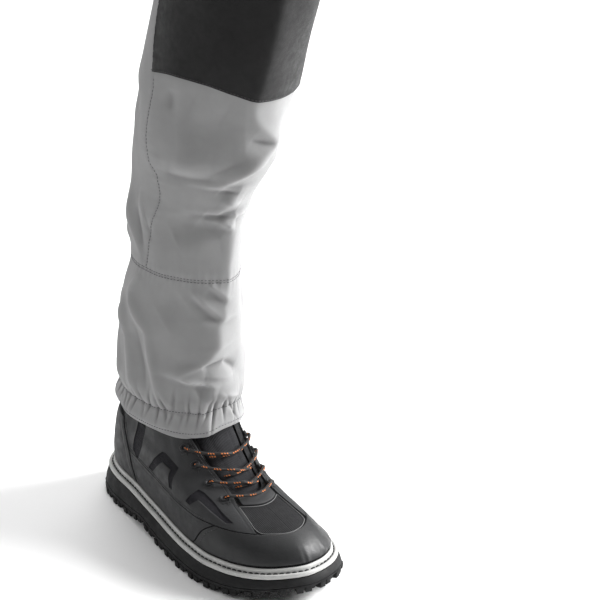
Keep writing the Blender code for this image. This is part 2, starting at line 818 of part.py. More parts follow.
def make_lugs():
    dense = np.linspace(0.0, 2.0 * pi, 721)
    rim = outline(dense, RIM_OUTSIDE)
    run = np.concatenate([[0.0], np.cumsum(np.linalg.norm(np.diff(rim, axis=0), axis=1))])
    blocks = []
    for number in range(RIM_LUGS):
        ends = (np.array([0.0, LUG_SHARE]) + number + RIM_START) / RIM_LUGS * run[-1]
        theta = np.interp(ends, run, dense)
        outside = outline(theta, RIM_OUTSIDE)
        inside = outline(theta, RIM_SHORT if number % 2 else RIM_LONG)
        blocks.append(lug_prism([outside[0], outside[1], inside[1], inside[0]]))
    for station, half, inner, outer, sweep in CENTRE_LUGS:
        run_at = np.arccos(2.0 * station / SOLE_LENGTH - 1.0)
        middle = float(outline([run_at])[0, 1] + outline([-run_at])[0, 1]) / 2.0
        front = station + half
        back = station - half
        if inner < 0.0:
            blocks.append(lug_prism([(back, inner), (front, inner), (front, outer), (back, outer)]))
            continue
        for side in (-1.0, 1.0):
            near = middle + side * inner
            far = middle + side * outer
            blocks.append(lug_prism([(back, near), (front, near), (front - sweep, far), (back - sweep, far)]))
    faces = []
    for number in range(len(blocks)):
        base = number * 8
        faces.append(tuple(base + i for i in (3, 2, 1, 0)))
        faces.append(tuple(base + i for i in (4, 5, 6, 7)))
        for j in range(4):
            k = (j + 1) % 4
            faces.append((base + j, base + k, base + 4 + k, base + 4 + j))
    return add_object("lug_blocks", np.concatenate(blocks), faces, RUBBER)


lug_blocks = make_lugs()
lug_blocks.hide_render = True
lug_blocks.display_type = "WIRE"
tread = outsole.modifiers.new("lugs", "BOOLEAN")
tread.operation = "UNION"
tread.object = lug_blocks
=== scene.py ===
"""Looks of the right wading boot with the wader leg drawn over it.

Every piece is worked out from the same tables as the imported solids: millimetres, stations counted
from the back of the heel, toe along +X, lateral side at -Y. A finer piece stands for each node that
it replaces, and stitches, folds and weave are added where the photograph shows them.
"""

from math import pi

import bmesh
import bpy
import numpy as np
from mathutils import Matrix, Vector


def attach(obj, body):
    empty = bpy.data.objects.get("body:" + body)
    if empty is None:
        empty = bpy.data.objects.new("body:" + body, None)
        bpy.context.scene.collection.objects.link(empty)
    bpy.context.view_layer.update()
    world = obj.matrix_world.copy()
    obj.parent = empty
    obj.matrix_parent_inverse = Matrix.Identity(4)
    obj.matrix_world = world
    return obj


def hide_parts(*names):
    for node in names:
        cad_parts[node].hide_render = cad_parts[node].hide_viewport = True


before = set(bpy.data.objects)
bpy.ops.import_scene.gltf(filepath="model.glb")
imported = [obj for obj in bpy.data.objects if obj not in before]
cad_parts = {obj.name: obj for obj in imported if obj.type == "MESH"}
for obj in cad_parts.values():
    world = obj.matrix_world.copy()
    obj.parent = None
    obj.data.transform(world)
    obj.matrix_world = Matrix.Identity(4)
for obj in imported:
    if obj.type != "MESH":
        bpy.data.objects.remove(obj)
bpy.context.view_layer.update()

# Driving sizes in millimetres, as in the part's source
MM = 0.001
SOLE_LENGTH = 328.0
HEEL_REACH = 52.0
LUG_DEPTH = 5.0
WELT_FLANGE = 8.0
UPPER_WALL = 2.2
TONGUE_THICK = 4.0
OVERLAY_TOP = 1.9
FABRIC_WALL = 1.2
LACE_RADIUS = 1.5
GAP = 0.3
LEG_TOP = 562.0
HEM = 107.0
CASING = 130.0
GUARD_SEAM = 269.0
SEED = 11

# Small steps, in radians, slices and millimetres, over which directions on a surface are taken
PLAN_STEP = 0.01
TURN_STEP = 0.03
SLICE_STEP = 0.12
LEG_TURN_STEP = 0.01
LEG_RISE_STEP = 0.7

# Angles in radians beyond which an edge is drawn sharp
CRISP = 0.6
MOULDED = 0.8
SOFT_EDGE = 0.9
BEADED = 1.2
ALL_ROUND = 3.0

# Plan of the welt's edge: half widths on the lateral and the medial side
OUTLINE = [
    # station, lateral, medial
    (0.0, 0.0, 0.0),
    (6.0, 14.5, 14.5),
    (26.0, 32.0, 31.0),
    (52.0, 40.0, 38.0),
    (83.0, 44.0, 39.4),
    (114.0, 49.0, 39.3),
    (146.0, 53.5, 41.0),
    (177.0, 59.0, 47.0),
    (208.0, 63.3, 54.6),
    (234.0, 64.5, 59.0),
    (260.0, 61.0, 60.0),
    (286.0, 52.4, 55.7),
    (307.0, 38.3, 44.7),
    (320.0, 22.0, 29.5),
    (328.0, 0.0, 0.0),
]

# Heights along the sole: underside of the lugs, top of the tread layer, underside of the welt
SOLE_HEIGHTS = [
    # station, ground, tread_top, welt_low
    (0.0, 4.0, 12.0, 26.0),
    (12.0, 0.0, 10.0, 26.0),
    (70.0, 0.0, 10.0, 25.6),
    (88.0, 1.2, 11.0, 25.2),
    (115.0, 6.0, 14.5, 23.8),
    (138.0, 2.4, 11.5, 22.2),
    (154.0, 0.0, 9.5, 21.2),
    (232.0, 0.0, 9.5, 20.0),
    (262.0, 1.6, 10.5, 20.8),
    (290.0, 5.5, 13.6, 22.8),
    (310.0, 9.0, 16.6, 25.0),
    (328.0, 13.0, 20.0, 27.5),
]

# Slices of the upper from the feather edge up to the collar and the tongue's tip
SLICES = [
    # front_x, front_z, back_x, back_z, follow, then the width at the heel, waist and ball:
    # lateral_heel, lateral_waist, lateral_ball, medial_heel, medial_waist, medial_ball
    (320.0, 27.0, 8.0, 26.0, 1.00, 1.00, 1.00, 1.00, 1.00, 1.00, 1.00),
    (319.5, 37.0, 8.2, 36.0, 1.00, 1.00, 1.00, 1.00, 1.00, 1.00, 1.00),
    (313.5, 48.0, 8.2, 48.0, 0.75, 1.00, 1.00, 0.99, 1.00, 1.05, 0.84),
    (300.0, 57.0, 9.5, 62.0, 0.45, 0.96, 0.97, 0.96, 0.99, 1.08, 0.71),
    (276.0, 63.5, 12.0, 76.0, 0.20, 0.90, 0.92, 0.91, 0.97, 1.10, 0.625),
    (250.0, 68.5, 15.5, 88.0, 0.10, 0.84, 0.87, 0.85, 0.95, 1.13, 0.61),
    (234.0, 72.5, 19.0, 96.0, 0.00, 0.77, 0.81, 0.76, 0.92, 1.17, 0.615),
    (218.0, 78.5, 23.0, 104.0, 0.00, 0.71, 0.75, 0.67, 0.90, 1.20, 0.645),
    (200.0, 90.0, 27.0, 116.0, 0.00, 0.67, 0.72, 0.59, 0.88, 1.25, 0.665),
    (183.0, 107.0, 30.0, 131.0, 0.00, 0.65, 0.70, 0.54, 0.87, 1.28, 0.655),
    (167.0, 128.0, 32.0, 149.0, 0.00, 0.64, 0.70, 0.53, 0.88, 1.30, 0.665),
    (155.0, 150.0, 33.0, 169.0, 0.00, 0.65, 0.72, 0.55, 0.90, 1.33, 0.70),
    (147.0, 168.0, 33.0, 186.0, 0.00, 0.65, 0.72, 0.55, 0.90, 1.33, 0.70),
]
# Shares of the length at which a slice's widths hold: heel twice, waist, ball twice
WIDTH_POSTS = np.array([0.0, 0.14, 0.40, 0.72, 1.0])
THROAT_BASE = 6.0
COLLAR = 11.0
THROAT_SWEEP = 1.6
THROAT = [
    # slice, half_width
    (6.0, 0.0),
    (6.05, 10.0),
    (6.3, 15.0),
    (7.0, 17.5),
    (8.0, 20.0),
    (9.0, 21.5),
    (11.0, 22.0),
    (12.0, 22.0),
]

# Plan sections of the wader leg, hem to top. The rise lifts the front of a section over the instep
LEG = [
    # height, centre_x, centre_y, back, front, side, power, rise
    (107.0, 100.0, 6.0, 78.3, 88.0, 47.5, 2.15, 15.0),
    (114.0, 100.0, 6.0, 81.0, 89.0, 49.5, 2.15, 15.0),
    (130.0, 101.0, 7.0, 77.0, 85.0, 48.0, 2.10, 12.0),
    (140.0, 101.0, 7.5, 78.0, 82.0, 49.5, 2.05, 10.0),
    (171.0, 102.0, 8.5, 77.0, 75.0, 49.0, 2.00, 4.0),
    (206.0, 104.0, 9.0, 78.0, 75.0, 49.0, 2.00, 0.0),
    (240.0, 107.0, 10.0, 72.0, 71.0, 47.0, 2.00, 0.0),
    (271.0, 112.0, 11.0, 67.0, 67.0, 45.0, 2.00, 0.0),
    (312.0, 110.0, 13.0, 70.0, 70.0, 48.0, 2.00, 0.0),
    (342.0, 119.0, 14.0, 71.0, 71.0, 49.0, 2.00, 0.0),
    (372.0, 134.0, 16.0, 82.0, 76.0, 55.0, 2.00, 0.0),
    (396.0, 145.0, 17.0, 88.0, 82.0, 60.0, 2.00, 0.0),
    (440.0, 151.0, 19.0, 90.0, 84.0, 61.0, 2.00, 0.0),
    (471.0, 162.0, 20.0, 90.0, 86.0, 62.0, 2.00, 0.0),
    (562.0, 193.0, 23.0, 90.0, 86.0, 62.0, 2.00, 0.0),
]


# Curves through tables
def column(table, index):
    return np.array([row[index] for row in table], dtype=float)


def smooth(x, xs, ys):
    """Monotone cubic through a table; ys may hold one column for each x."""
    x = np.clip(np.atleast_1d(np.asarray(x, dtype=float)), xs[0], xs[-1])
    many = np.ndim(ys) == 2
    step = np.diff(xs)[:, None] if many else np.diff(xs)
    slope = np.diff(ys, axis=0) / step
    left = 2.0 * step[1:] + step[:-1]
    right = step[1:] + 2.0 * step[:-1]
    rising = slope[:-1] * slope[1:] > 0.0
    first = np.where(rising, slope[:-1], 1.0)
    second = np.where(rising, slope[1:], 1.0)
    tangent = np.zeros(np.shape(ys))
    tangent[0] = slope[0]
    tangent[-1] = slope[-1]
    tangent[1:-1] = np.where(rising, (left + right) / (left / first + right / second), 0.0)
    i = np.clip(np.searchsorted(xs, x, side="right") - 1, 0, len(xs) - 2)
    low = (i, np.arange(len(x))) if many else i
    high = (i + 1, np.arange(len(x))) if many else i + 1
    width = np.diff(xs)[i]
    t = (x - xs[i]) / width
    value = (1.0 + 2.0 * t) * (1.0 - t) ** 2 * ys[low]
    value = value + t * (1.0 - t) ** 2 * width * tangent[low]
    value = value + t * t * (3.0 - 2.0 * t) * ys[high]
    return value + t * t * (t - 1.0) * width * tangent[high]


def along(table, index, x):
    shape = np.shape(x)
    return smooth(np.ravel(x), column(table, 0), column(table, index)).reshape(shape)


def angles(count):
    return np.arange(count) * 2.0 * pi / count


def unit(rows):
    return rows / np.linalg.norm(rows, axis=-1, keepdims=True)


def bump(away, half):
    """Soft hump over a distance: one in the middle, nothing a few half widths out."""
    return np.exp(-((away / half) ** 2))


def ridge(away, form):
    """A soft ridge from its height, its place and its half width."""
    height, place, half = form
    return height * bump(away - place, half)


def step_lengths(grid, axis):
    """Distances between neighbouring points along one axis of a grid or path."""
    return np.linalg.norm(np.diff(grid, axis=axis), axis=-1)


def run_along(path):
    """Distance along a path at each of its points."""
    return np.concatenate([[0.0], np.cumsum(step_lengths(path, 0))])


# Meshes
def add_piece(name, points, faces, materials, uv=None, slots=None, sharp=SOFT_EDGE):
    """A mesh piece that rides on the boot. Points are millimetres and texture places are metres."""
    mesh = bpy.data.meshes.new(name)
    placed = (np.asarray(points, dtype=float).reshape(-1, 3) - (HEEL_REACH, 0.0, 0.0)) * MM
    mesh.from_pydata(placed.tolist(), [], faces.tolist() if isinstance(faces, np.ndarray) else faces)
    if uv is not None:
        layer = mesh.uv_layers.new(name="UVMap")
        layer.data.foreach_set("uv", (np.asarray(uv, dtype=float).reshape(-1, 2) * MM).ravel())
    for made in materials:
        mesh.materials.append(made)
    if slots is not None:
        mesh.polygons.foreach_set("material_index", np.asarray(slots, dtype=np.int32))
    mesh.shade_smooth()
    mesh.set_sharp_from_angle(angle=sharp)
    piece = bpy.data.objects.new(name, mesh)
    bpy.context.scene.collection.objects.link(piece)
    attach(piece, "root")
    return piece


def turn_outward(piece):
    """Point every face of a closed piece outward."""
    work = bmesh.new()
    work.from_mesh(piece.data)
    bmesh.ops.recalc_face_normals(work, faces=work.faces)
    work.to_mesh(piece.data)
    work.free()
    return piece


def grid_faces(rows, columns, wrap):
    """Quads of a grid, as corner numbers and as grid places that run on past the wrap."""
    last = columns if wrap else columns - 1
    r, c = np.meshgrid(np.arange(rows - 1), np.arange(last), indexing="ij")
    r = r.ravel()
    c = c.ravel()
    d = (c + 1) % columns
    corners = np.stack([r * columns + c, r * columns + d, (r + 1) * columns + d, (r + 1) * columns + c], 1)
    places = np.stack([r, c, r, c + 1, r + 1, c + 1, r + 1, c], 1).reshape(-1, 4, 2)
    return corners, places


def add_shell(name, outer, inner, materials, wrap=False, sharp=SOFT_EDGE):
    """A sheet with thickness from two grids; its texture places are lengths along rows and columns."""
    rows, columns = outer.shape[:2]
    layer = rows * columns
    corners, places = grid_faces(rows, columns, wrap)
    closed = np.concatenate([outer, outer[:, :1]], 1) if wrap else outer
    across = step_lengths(closed, 1).mean(axis=0)
    up = step_lengths(outer, 0).mean(axis=1)
    across = np.concatenate([[0.0], np.cumsum(across)])
    up = np.concatenate([[0.0], np.cumsum(up)])
    uv = np.stack([across[places[..., 1]], up[places[..., 0]]], -1)
    faces = [corners, layer + corners[:, ::-1]]
    uvs = [uv, uv[:, ::-1]]
    last = columns if wrap else columns - 1
    c = np.arange(last)
    d = (c + 1) % columns
    for r, flip in ((0, 1), (rows - 1, -1)):
        a = r * columns + c
        b = r * columns + d
        faces.append(np.stack([a, layer + a, layer + b, b], 1)[:, ::flip])
        uvs.append(np.zeros((last, 4, 2)))
    if not wrap:
        r = np.arange(rows - 1)
        for side, flip in ((0, -1), (columns - 1, 1)):
            a = r * columns + side
            b = a + columns
            faces.append(np.stack([a, layer + a, layer + b, b], 1)[:, ::flip])
            uvs.append(np.zeros((rows - 1, 4, 2)))
    points = np.concatenate([outer.reshape(-1, 3), inner.reshape(-1, 3)])
    return add_piece(name, points, np.concatenate(faces), materials, np.concatenate(uvs), sharp=sharp)


TUBE_UP = (0.1, 0.2, 1.0)
TUBE_END = 0.25
TUBE_SHOULDER = 0.8


def tube_parts(path, radius, sides):
    """Points, quads and texture places of a round cord along a path."""
    ahead = unit(np.gradient(path, axis=0))
    side = unit(np.cross(ahead, TUBE_UP))
    up = np.cross(side, ahead)
    turn = angles(sides)
    ring = np.cos(turn)[None, :, None] * side[:, None] + np.sin(turn)[None, :, None] * up[:, None]
    points = path[:, None] + np.reshape(radius, (-1, 1, 1)) * ring
    corners, places = grid_faces(len(path), sides, True)
    run = run_along(path)
    uv = np.stack([places[..., 1] * 2.0 * pi * np.mean(radius) / sides, run[places[..., 0]]], -1)
    return points.reshape(-1, 3), corners[:, ::-1], uv[:, ::-1]


def add_tubes(name, paths, radius, materials, sides=12, pick=None):
    """Several cords in one piece, with rounded ends. Pick chooses each face's material slot."""
    points = []
    faces = []
    uvs = []
    count = 0
    for path in paths:
        size = np.full(len(path), radius)
        size[[0, -1]] *= TUBE_END
        size[[1, -2]] *= TUBE_SHOULDER
        p, f, uv = tube_parts(path, size, sides)
        points.append(p)
        faces.append(f + count)
        uvs.append(uv)
        count += len(p)
    uv = np.concatenate(uvs)
    slots = None if pick is None else pick(uv.mean(axis=1))
    points = np.concatenate(points)
    return add_piece(name, points, np.concatenate(faces), materials, uv, slots, sharp=ALL_ROUND)


def evenly(path, step):
    """A path's points set out again at an even distance."""
    run = run_along(path)
    at = np.linspace(0.0, run[-1], max(int(round(run[-1] / step)) + 1, 3))
    return np.stack([np.interp(at, run, path[:, i]) for i in range(path.shape[1])], 1)


STITCH_RINGS = [
    # share along the stitch, share of the radius, share of the radius above the surface
    (0.00, 0.30, -0.70),
    (0.10, 0.85, 0.00),
    (0.50, 1.00, 0.35),
    (0.90, 0.85, 0.00),
    (1.00, 0.30, -0.70),
]
STITCH_SIDES = 6


def add_stitches(name, rows, length, gap, radius, made):
    """Rows of stitches, each row a path and the surface's outward directions along it."""
    rings = np.array(STITCH_RINGS)
    points = []
    for path, out in rows:
        run = run_along(path)
        begins = np.arange(0.0, run[-1] - length, length + gap)
        at = begins[:, None] + rings[None, :, 0] * length
        spot = np.stack([np.interp(at, run, path[:, i]) for i in range(3)], -1)
        normal = unit(np.stack([np.interp(at, run, out[:, i]) for i in range(3)], -1))
        ahead = unit(spot[:, -1:] - spot[:, :1])
        side = unit(np.cross(ahead, normal))
        spot = spot + radius * rings[None, :, 2:3] * normal
        turn = angles(STITCH_SIDES)
        ring = np.cos(turn)[:, None] * side[:, :, None] + np.sin(turn)[:, None] * normal[:, :, None]
        points.append((spot[:, :, None] + radius * rings[None, :, 1, None, None] * ring).reshape(-1, 3))
    points = np.concatenate(points)
    one, places = grid_faces(len(rings), STITCH_SIDES, True)
    size = len(rings) * STITCH_SIDES
    faces = (np.arange(len(points) // size) * size)[:, None, None] + one[None]
    return add_piece(name, points, faces.reshape(-1, 4), [made], sharp=ALL_ROUND)


# Forms of the sole
def outline(theta, inset=0.0):
    """Plan of the welt's edge. Angle 0 is the toe, pi the heel; positive angles are medial."""

    def edge(angle):
        angle = (angle + pi) % (2.0 * pi) - pi
        run = 1.0 - np.abs(angle) / pi
        rows = np.arccos(1.0 - 2.0 * column(OUTLINE, 0) / SOLE_LENGTH) / pi
        lateral = -smooth(run, rows, column(OUTLINE, 1))
        medial = smooth(run, rows, column(OUTLINE, 2))
        station = SOLE_LENGTH * (1.0 + np.cos(angle)) / 2.0
        return np.stack([station, np.where(angle < 0.0, lateral, medial)], 1)

    theta = np.atleast_1d(np.asarray(theta, dtype=float))
    here = edge(theta)
    ahead = unit(edge(theta + PLAN_STEP) - edge(theta - PLAN_STEP))
    outward = np.stack([ahead[:, 1], -ahead[:, 0]], 1)
    return here - inset * outward


def ground(x):
    return along(SOLE_HEIGHTS, 1, x)


def tread_top(x):
    return along(SOLE_HEIGHTS, 2, x)


def welt_low(x):
    return along(SOLE_HEIGHTS, 3, x)


# Forms of the upper
def upper_point(v, theta):
    """Outer face of the upper at slice v; angle 0 is the front, positive angles are medial."""
    v, theta = np.broadcast_arrays(np.asarray(v, dtype=float), np.asarray(theta, dtype=float))
    shape = theta.shape
    v = v.ravel()
    theta = theta.ravel()
    rows = np.arange(len(SLICES), dtype=float)
    value = [smooth(v, rows, column(SLICES, i)) for i in range(11)]
    front_x, front_z, back_x, back_z, follow = value[:5]
    plan = outline(theta, WELT_FLANGE)
    run = np.clip((plan[:, 0] - WELT_FLANGE) / (SOLE_LENGTH - 2.0 * WELT_FLANGE), 0.0, 1.0)
    lateral = smooth(run, WIDTH_POSTS, np.stack([value[5], value[5], value[6], value[7], value[7]]))
    medial = smooth(run, WIDTH_POSTS, np.stack([value[8], value[8], value[9], value[10], value[10]]))
    x = back_x + run * (front_x - back_x)
    y = plan[:, 1] * np.where(plan[:, 1] < 0.0, lateral, medial)
    low_front = welt_low(SOLE_LENGTH - WELT_FLANGE)
    low_back = welt_low(WELT_FLANGE)
    chord = low_back + run * (low_front - low_back)
    z = back_z + run * (front_z - back_z) + follow * (welt_low(x) - chord)
    return np.stack([x, y, z], 1).reshape(shape + (3,))


def upper_normal(v, theta):
    v = np.asarray(v, dtype=float)
    theta = np.asarray(theta, dtype=float)
    top = len(SLICES) - 1.0
    above = upper_point(np.minimum(v + SLICE_STEP, top), theta)
    rise = above - upper_point(np.maximum(v - SLICE_STEP, 0.0), theta)
    turn = upper_point(v, theta + TURN_STEP) - upper_point(v, theta - TURN_STEP)
    return unit(np.cross(turn, rise))


def upper_face(v, theta, lift=0.0):
    """The upper's face moved along its outward normal."""
    return upper_point(v, theta) + np.asarray(lift)[..., None] * upper_normal(v, theta)


def throat_angle(v, side, extra=0.0):
    """Angle at which the slice is as far from the centre line as the throat's edge."""
    half = float(along(THROAT, 1, v)) + extra
    sweep = np.linspace(0.0, THROAT_SWEEP, 400)
    away = np.abs(upper_point(v, side * sweep)[:, 1])
    widest = int(np.argmax(away))
    return float(np.interp(half, away[:widest], sweep[:widest]))


# Folds of the wader leg. A row runs from one height and angle to another
SHIN = [
    # height, angle of the soft edge that winds down the front of the leg
    (107.0, -0.42),
    (134.0, -0.50),
    (147.0, -0.34),
    (158.0, -0.28),
    (171.0, -0.78),
    (187.0, -0.40),
    (198.0, -0.26),
    (205.0, -0.16),
    (226.0, -0.16),
    (231.0, -0.05),
    (249.0, -0.03),
    (290.0, 0.00),
    (318.0, 0.02),
    (329.0, -0.22),
    (334.0, -0.06),
    (339.0, -0.32),
    (348.0, -0.24),
    (363.0, -0.20),
    (370.0, -0.48),
    (378.0, -0.38),
    (393.0, -0.17),
    (402.0, 0.00),
    (411.0, 0.19),
    (427.0, -0.03),
    (438.0, -0.21),
    (453.0, -0.28),
    (562.0, -0.28),
]
SHIN_HEIGHT = 11.0
SHIN_SOFT = 3.0
SHIN_REACH = 20.0
SHIN_FLAT = 0.50
SHIN_FLAT_HALF = 2.4 * SHIN_REACH
FOLDS = [
    # from_height, from_angle, to_height, to_angle, reach, height
    # below the knee, lateral and front
    (418.0, -0.22, 410.0, 0.20, 4.0, -5.0),
    (400.0, 0.06, 374.0, -0.44, 7.0, 6.0),
    (398.0, -0.30, 384.0, -0.66, 7.0, -3.4),
    (430.0, -1.25, 436.0, -0.34, 20.0, -5.4),
    (447.0, -1.10, 440.0, -0.62, 9.0, 3.1),
    (458.0, -1.42, 440.0, -1.36, 5.0, -3.4),
    (456.0, -1.58, 394.0, -1.56, 10.0, 3.4),
    (386.0, -1.30, 388.0, -0.70, 10.0, 3.4),
    (376.0, -1.38, 376.0, -0.62, 7.0, -4.4),
    (366.0, -0.46, 362.0, -0.12, 4.0, -5.6),
    (352.0, -0.38, 348.0, 0.02, 5.0, 4.6),
    (337.0, -0.32, 335.0, 0.02, 3.5, -5.6),
    (328.0, -0.26, 325.0, 0.06, 5.0, 4.2),
    (312.0, -1.02, 330.0, -0.58, 10.0, -4.8),
    (332.0, -0.58, 322.0, -0.10, 8.0, -5.1),
    (300.0, -0.90, 306.0, -0.20, 10.0, 2.7),
    (345.0, -1.76, 312.0, -1.50, 6.0, 4.1),
    (336.0, -1.64, 300.0, -1.42, 5.0, -3.7),
    (340.0, -2.12, 300.0, -1.90, 5.0, 3.7),
    (320.0, -1.96, 282.0, -1.76, 5.0, 3.4),
    (328.0, -1.80, 290.0, -1.66, 4.0, -3.4),
    # gravel guard, lateral and front
    (262.0, -1.72, 238.0, -1.90, 5.0, 4.4),
    (238.0, -1.90, 208.0, -1.42, 6.0, 6.5),
    (208.0, -1.42, 142.0, -1.15, 7.0, 7.1),
    (222.0, -2.14, 192.0, -1.87, 6.0, 5.8),
    (192.0, -1.87, 139.0, -1.62, 6.0, 6.5),
    (206.0, -1.64, 146.0, -1.38, 7.0, -4.1),
    (192.0, -2.36, 141.0, -2.04, 6.0, 4.8),
    (226.0, -1.18, 248.0, -0.82, 11.0, -4.8),
    (258.0, -0.68, 233.0, -0.14, 3.5, 3.7),
    (251.0, -0.68, 226.0, -0.16, 5.0, -4.1),
    (267.0, -0.40, 251.0, 0.00, 3.2, 3.4),
    (261.0, -0.40, 245.0, -0.02, 4.0, -3.1),
    (168.0, -0.80, 171.0, -0.34, 7.0, 2.8),
    (170.0, -0.40, 165.0, 0.24, 7.0, 5.0),
    (181.0, -0.46, 184.0, -0.02, 4.0, -5.4),
    (184.0, -0.02, 171.0, 0.32, 4.0, -5.4),
    (134.0, -1.00, 150.0, -0.54, 9.0, -6.4),
    (150.0, -0.54, 152.0, -0.30, 8.0, -3.2),
    (150.0, -0.22, 139.0, 0.30, 7.0, 5.4),
    # back of the leg
    (398.0, -2.55, 388.0, 2.70, 7.0, -6.8),
    (384.0, 2.75, 372.0, -2.60, 7.0, 5.1),
    (370.0, -2.80, 360.0, 2.60, 6.0, -5.8),
    (420.0, 2.90, 412.0, 2.20, 8.0, -4.4),
    (440.0, -2.60, 424.0, -2.10, 8.0, -4.1),
    (340.0, 2.90, 318.0, 2.30, 7.0, 4.4),
    (300.0, -2.90, 286.0, -2.30, 6.0, 4.1),
    (246.0, -2.90, 180.0, -2.68, 7.0, 5.8),
    (234.0, 2.80, 170.0, 2.95, 7.0, 5.4),
    (205.0, 3.05, 145.0, -3.00, 7.0, -4.1),
    # medial side
    (452.0, 0.90, 398.0, 1.60, 9.0, 4.8),
    (416.0, 0.50, 366.0, 1.40, 8.0, -6.8),
    (382.0, 0.80, 340.0, 1.40, 7.0, 3.0),
    (360.0, 0.95, 326.0, 1.90, 6.0, -5.4),
    (330.0, 0.80, 300.0, 1.40, 6.0, 4.4),
    (322.0, 1.80, 286.0, 2.10, 5.0, 3.7),
    (258.0, 1.30, 214.0, 0.90, 6.0, 5.4),
    (240.0, 1.70, 150.0, 1.50, 7.0, 6.5),
    (222.0, 2.10, 142.0, 1.90, 7.0, 5.8),
    (214.0, 1.30, 150.0, 1.16, 7.0, -5.1),
    (190.0, 0.80, 146.0, 0.96, 7.0, 5.1),
    (204.0, 2.50, 150.0, 2.30, 7.0, 5.1),
]
FOLD_FADE = 0.70
FOLD_SOFT = 1.8
BROAD_FOLD = 7.5
BROAD_WIDTH = 1.5
SIDE_SEAM = [
    # height, angle
    (269.0, 1.60),
    (316.0, 1.41),
    (343.0, 1.34),
    (370.0, 1.48),
    (386.0, 1.66),
    (410.0, 1.73),
    (445.0, 1.69),
    (470.0, 1.77),
    (507.0, 1.93),
    (562.0, 2.06),
]

# Casing of the elastic: a height in millimetres, where it is above the casing, and its half width
BLOUSE = (1.4, 17.0, 11.0)
CASING_LINE = (1.2, 0.0, 2.2)
DRAWN_IN = (3.6, -5.0, 15.0)
FLARE = 1.0
FLARE_RUN = 18.0

# Hem's turned edge and its stitched line: height, where it is above the hem, half width
HEM_TURN = (1.6, 0.0, 3.0)
HEM_ROLL = (0.4, 1.5, 2.0)
HEM_LINE = (0.4, 4.6, 1.2)

# Tucks drawn into the hem: lowest and highest value of each random draw, then a tuck's form and limits
TUCK_PITCH = (6.0, 11.0)
TUCK_LEAN = (-0.35, 0.45)
TUCK_DEPTH = (1.6, 3.2)
TUCK_UP = (6.0, 17.0)
TUCK_DOWN = (9.0, 19.0)
TUCK_LAST = 9.0
TUCK_HUMP = 0.80
TUCK_HUMP_HALF = 4.2
TUCK_GROOVE = 1.60
TUCK_GROOVE_SOFT = 0.4
TUCK_GROOVE_REACH = 1.5
GATHER_DEEPEST = -2.2
GATHER_HIGHEST = 3.0
TUCK_ROOM = 3.0

# The guard hangs lower over the lateral side of the instep
SAG = 5.0
SAG_ANGLE = -0.75
SAG_HALF = 0.40
SAG_FADE = 40.0

# Sewn lines of the leg: depth of the channel, its half width, and the puckers beside it
SEAM_CHANNEL = 0.4
SEAM_CHANNEL_HALF = 1.6
SEAM_RIDGE = (0.4, 5.0, 3.5)
SEAM_PUCKER = 0.30
SEAM_PUCKER_PITCH = 7.5
SIDE_CHANNEL = 0.6
SIDE_PUCKER = 0.22
SIDE_PUCKER_PITCH = 8.5
PUCKER_FADE = 6.0
SIDE_SEAM_START = 4.0

# Slow unevenness of the cloth: waves around the leg, their run up the leg and their heights
SWELL_WAVES = (2, 3, 4, 5, 7, 9)
SWELL_RUN = 90.0
SWELL_HEIGHT = (0.2, 0.5)

# Room that the fabric has before it meets the boot under the guard
BOOT_ROOM = [
    # angle, room over the boot at the hem's edge, room higher up
    (-3.15, 0.6, 3.1),
    (-2.75, 0.9, 3.2),
    (-2.36, 4.0, 3.9),
    (-1.96, 6.0, 6.0),
    (-1.57, 4.2, 5.4),
    (-1.18, 0.8, 4.8),
    (-0.79, -0.2, 6.2),
    (-0.45, 5.0, 8.0),
    (0.40, 8.0, 9.0),
    (2.40, 8.0, 9.0),
    (2.75, 6.0, 8.0),
    (3.15, 0.6, 3.1),
]
ROOM_RISE = 0.45
BOOT_TOP = 168.0

# Length around the leg, taken on a middling section
MIDDLING_AHEAD = 70.0
MIDDLING_ACROSS = 48.0
ROUND_COUNT = 720
ROUND_ANGLES = np.linspace(-pi, pi, ROUND_COUNT + 1)
ROUND_STEP = np.hypot(MIDDLING_AHEAD * np.sin(ROUND_ANGLES), MIDDLING_ACROSS * np.cos(ROUND_ANGLES))
ROUND_STEP = ROUND_STEP * (2.0 * pi / ROUND_COUNT)
ROUND_RUN = np.concatenate([[0.0], np.cumsum((ROUND_STEP[1:] + ROUND_STEP[:-1]) / 2.0)])
ROUND = ROUND_RUN[-1]


def around(phi):
    """Millimetres around the leg, from the back by the lateral side."""
    return np.interp((np.asarray(phi) + pi) % (2.0 * pi) - pi, ROUND_ANGLES, ROUND_RUN)


def apart(phi, other):
    """Shortest way around the leg between two angles, with its sign."""
    return (around(phi) - around(other) + ROUND / 2.0) % ROUND - ROUND / 2.0


def crease(away, soft, reach):
    """A line with a soft top and straight flanks that run out over the reach."""
    return np.exp(-(np.sqrt(away**2 + soft**2) - soft) / reach)


def fold(z, phi, row):
    """One fold along the line of its row, fading towards both ends."""
    from_z, from_phi, to_z, to_phi, reach, height = row
    u = apart(phi, from_phi)
    w = z - from_z
    end_u = apart(to_phi, from_phi)
    end_w = to_z - from_z
    t = np.clip((u * end_u + w * end_w) / (end_u**2 + end_w**2), 0.0, 1.0)
    away = np.hypot(u - t * end_u, w - t * end_w)
    profile = crease(away, FOLD_SOFT, reach) if reach < BROAD_FOLD else bump(away, BROAD_WIDTH * reach)
    return height * (1.0 - FOLD_FADE * (2.0 * t - 1.0) ** 2) * profile


def shin(z, phi):
    """The soft edge down the front, with flatter fabric on either side of it."""
    away = apart(phi, along(SHIN, 1, z))
    return SHIN_HEIGHT * (crease(away, SHIN_SOFT, SHIN_REACH) - SHIN_FLAT * bump(away, SHIN_FLAT_HALF))


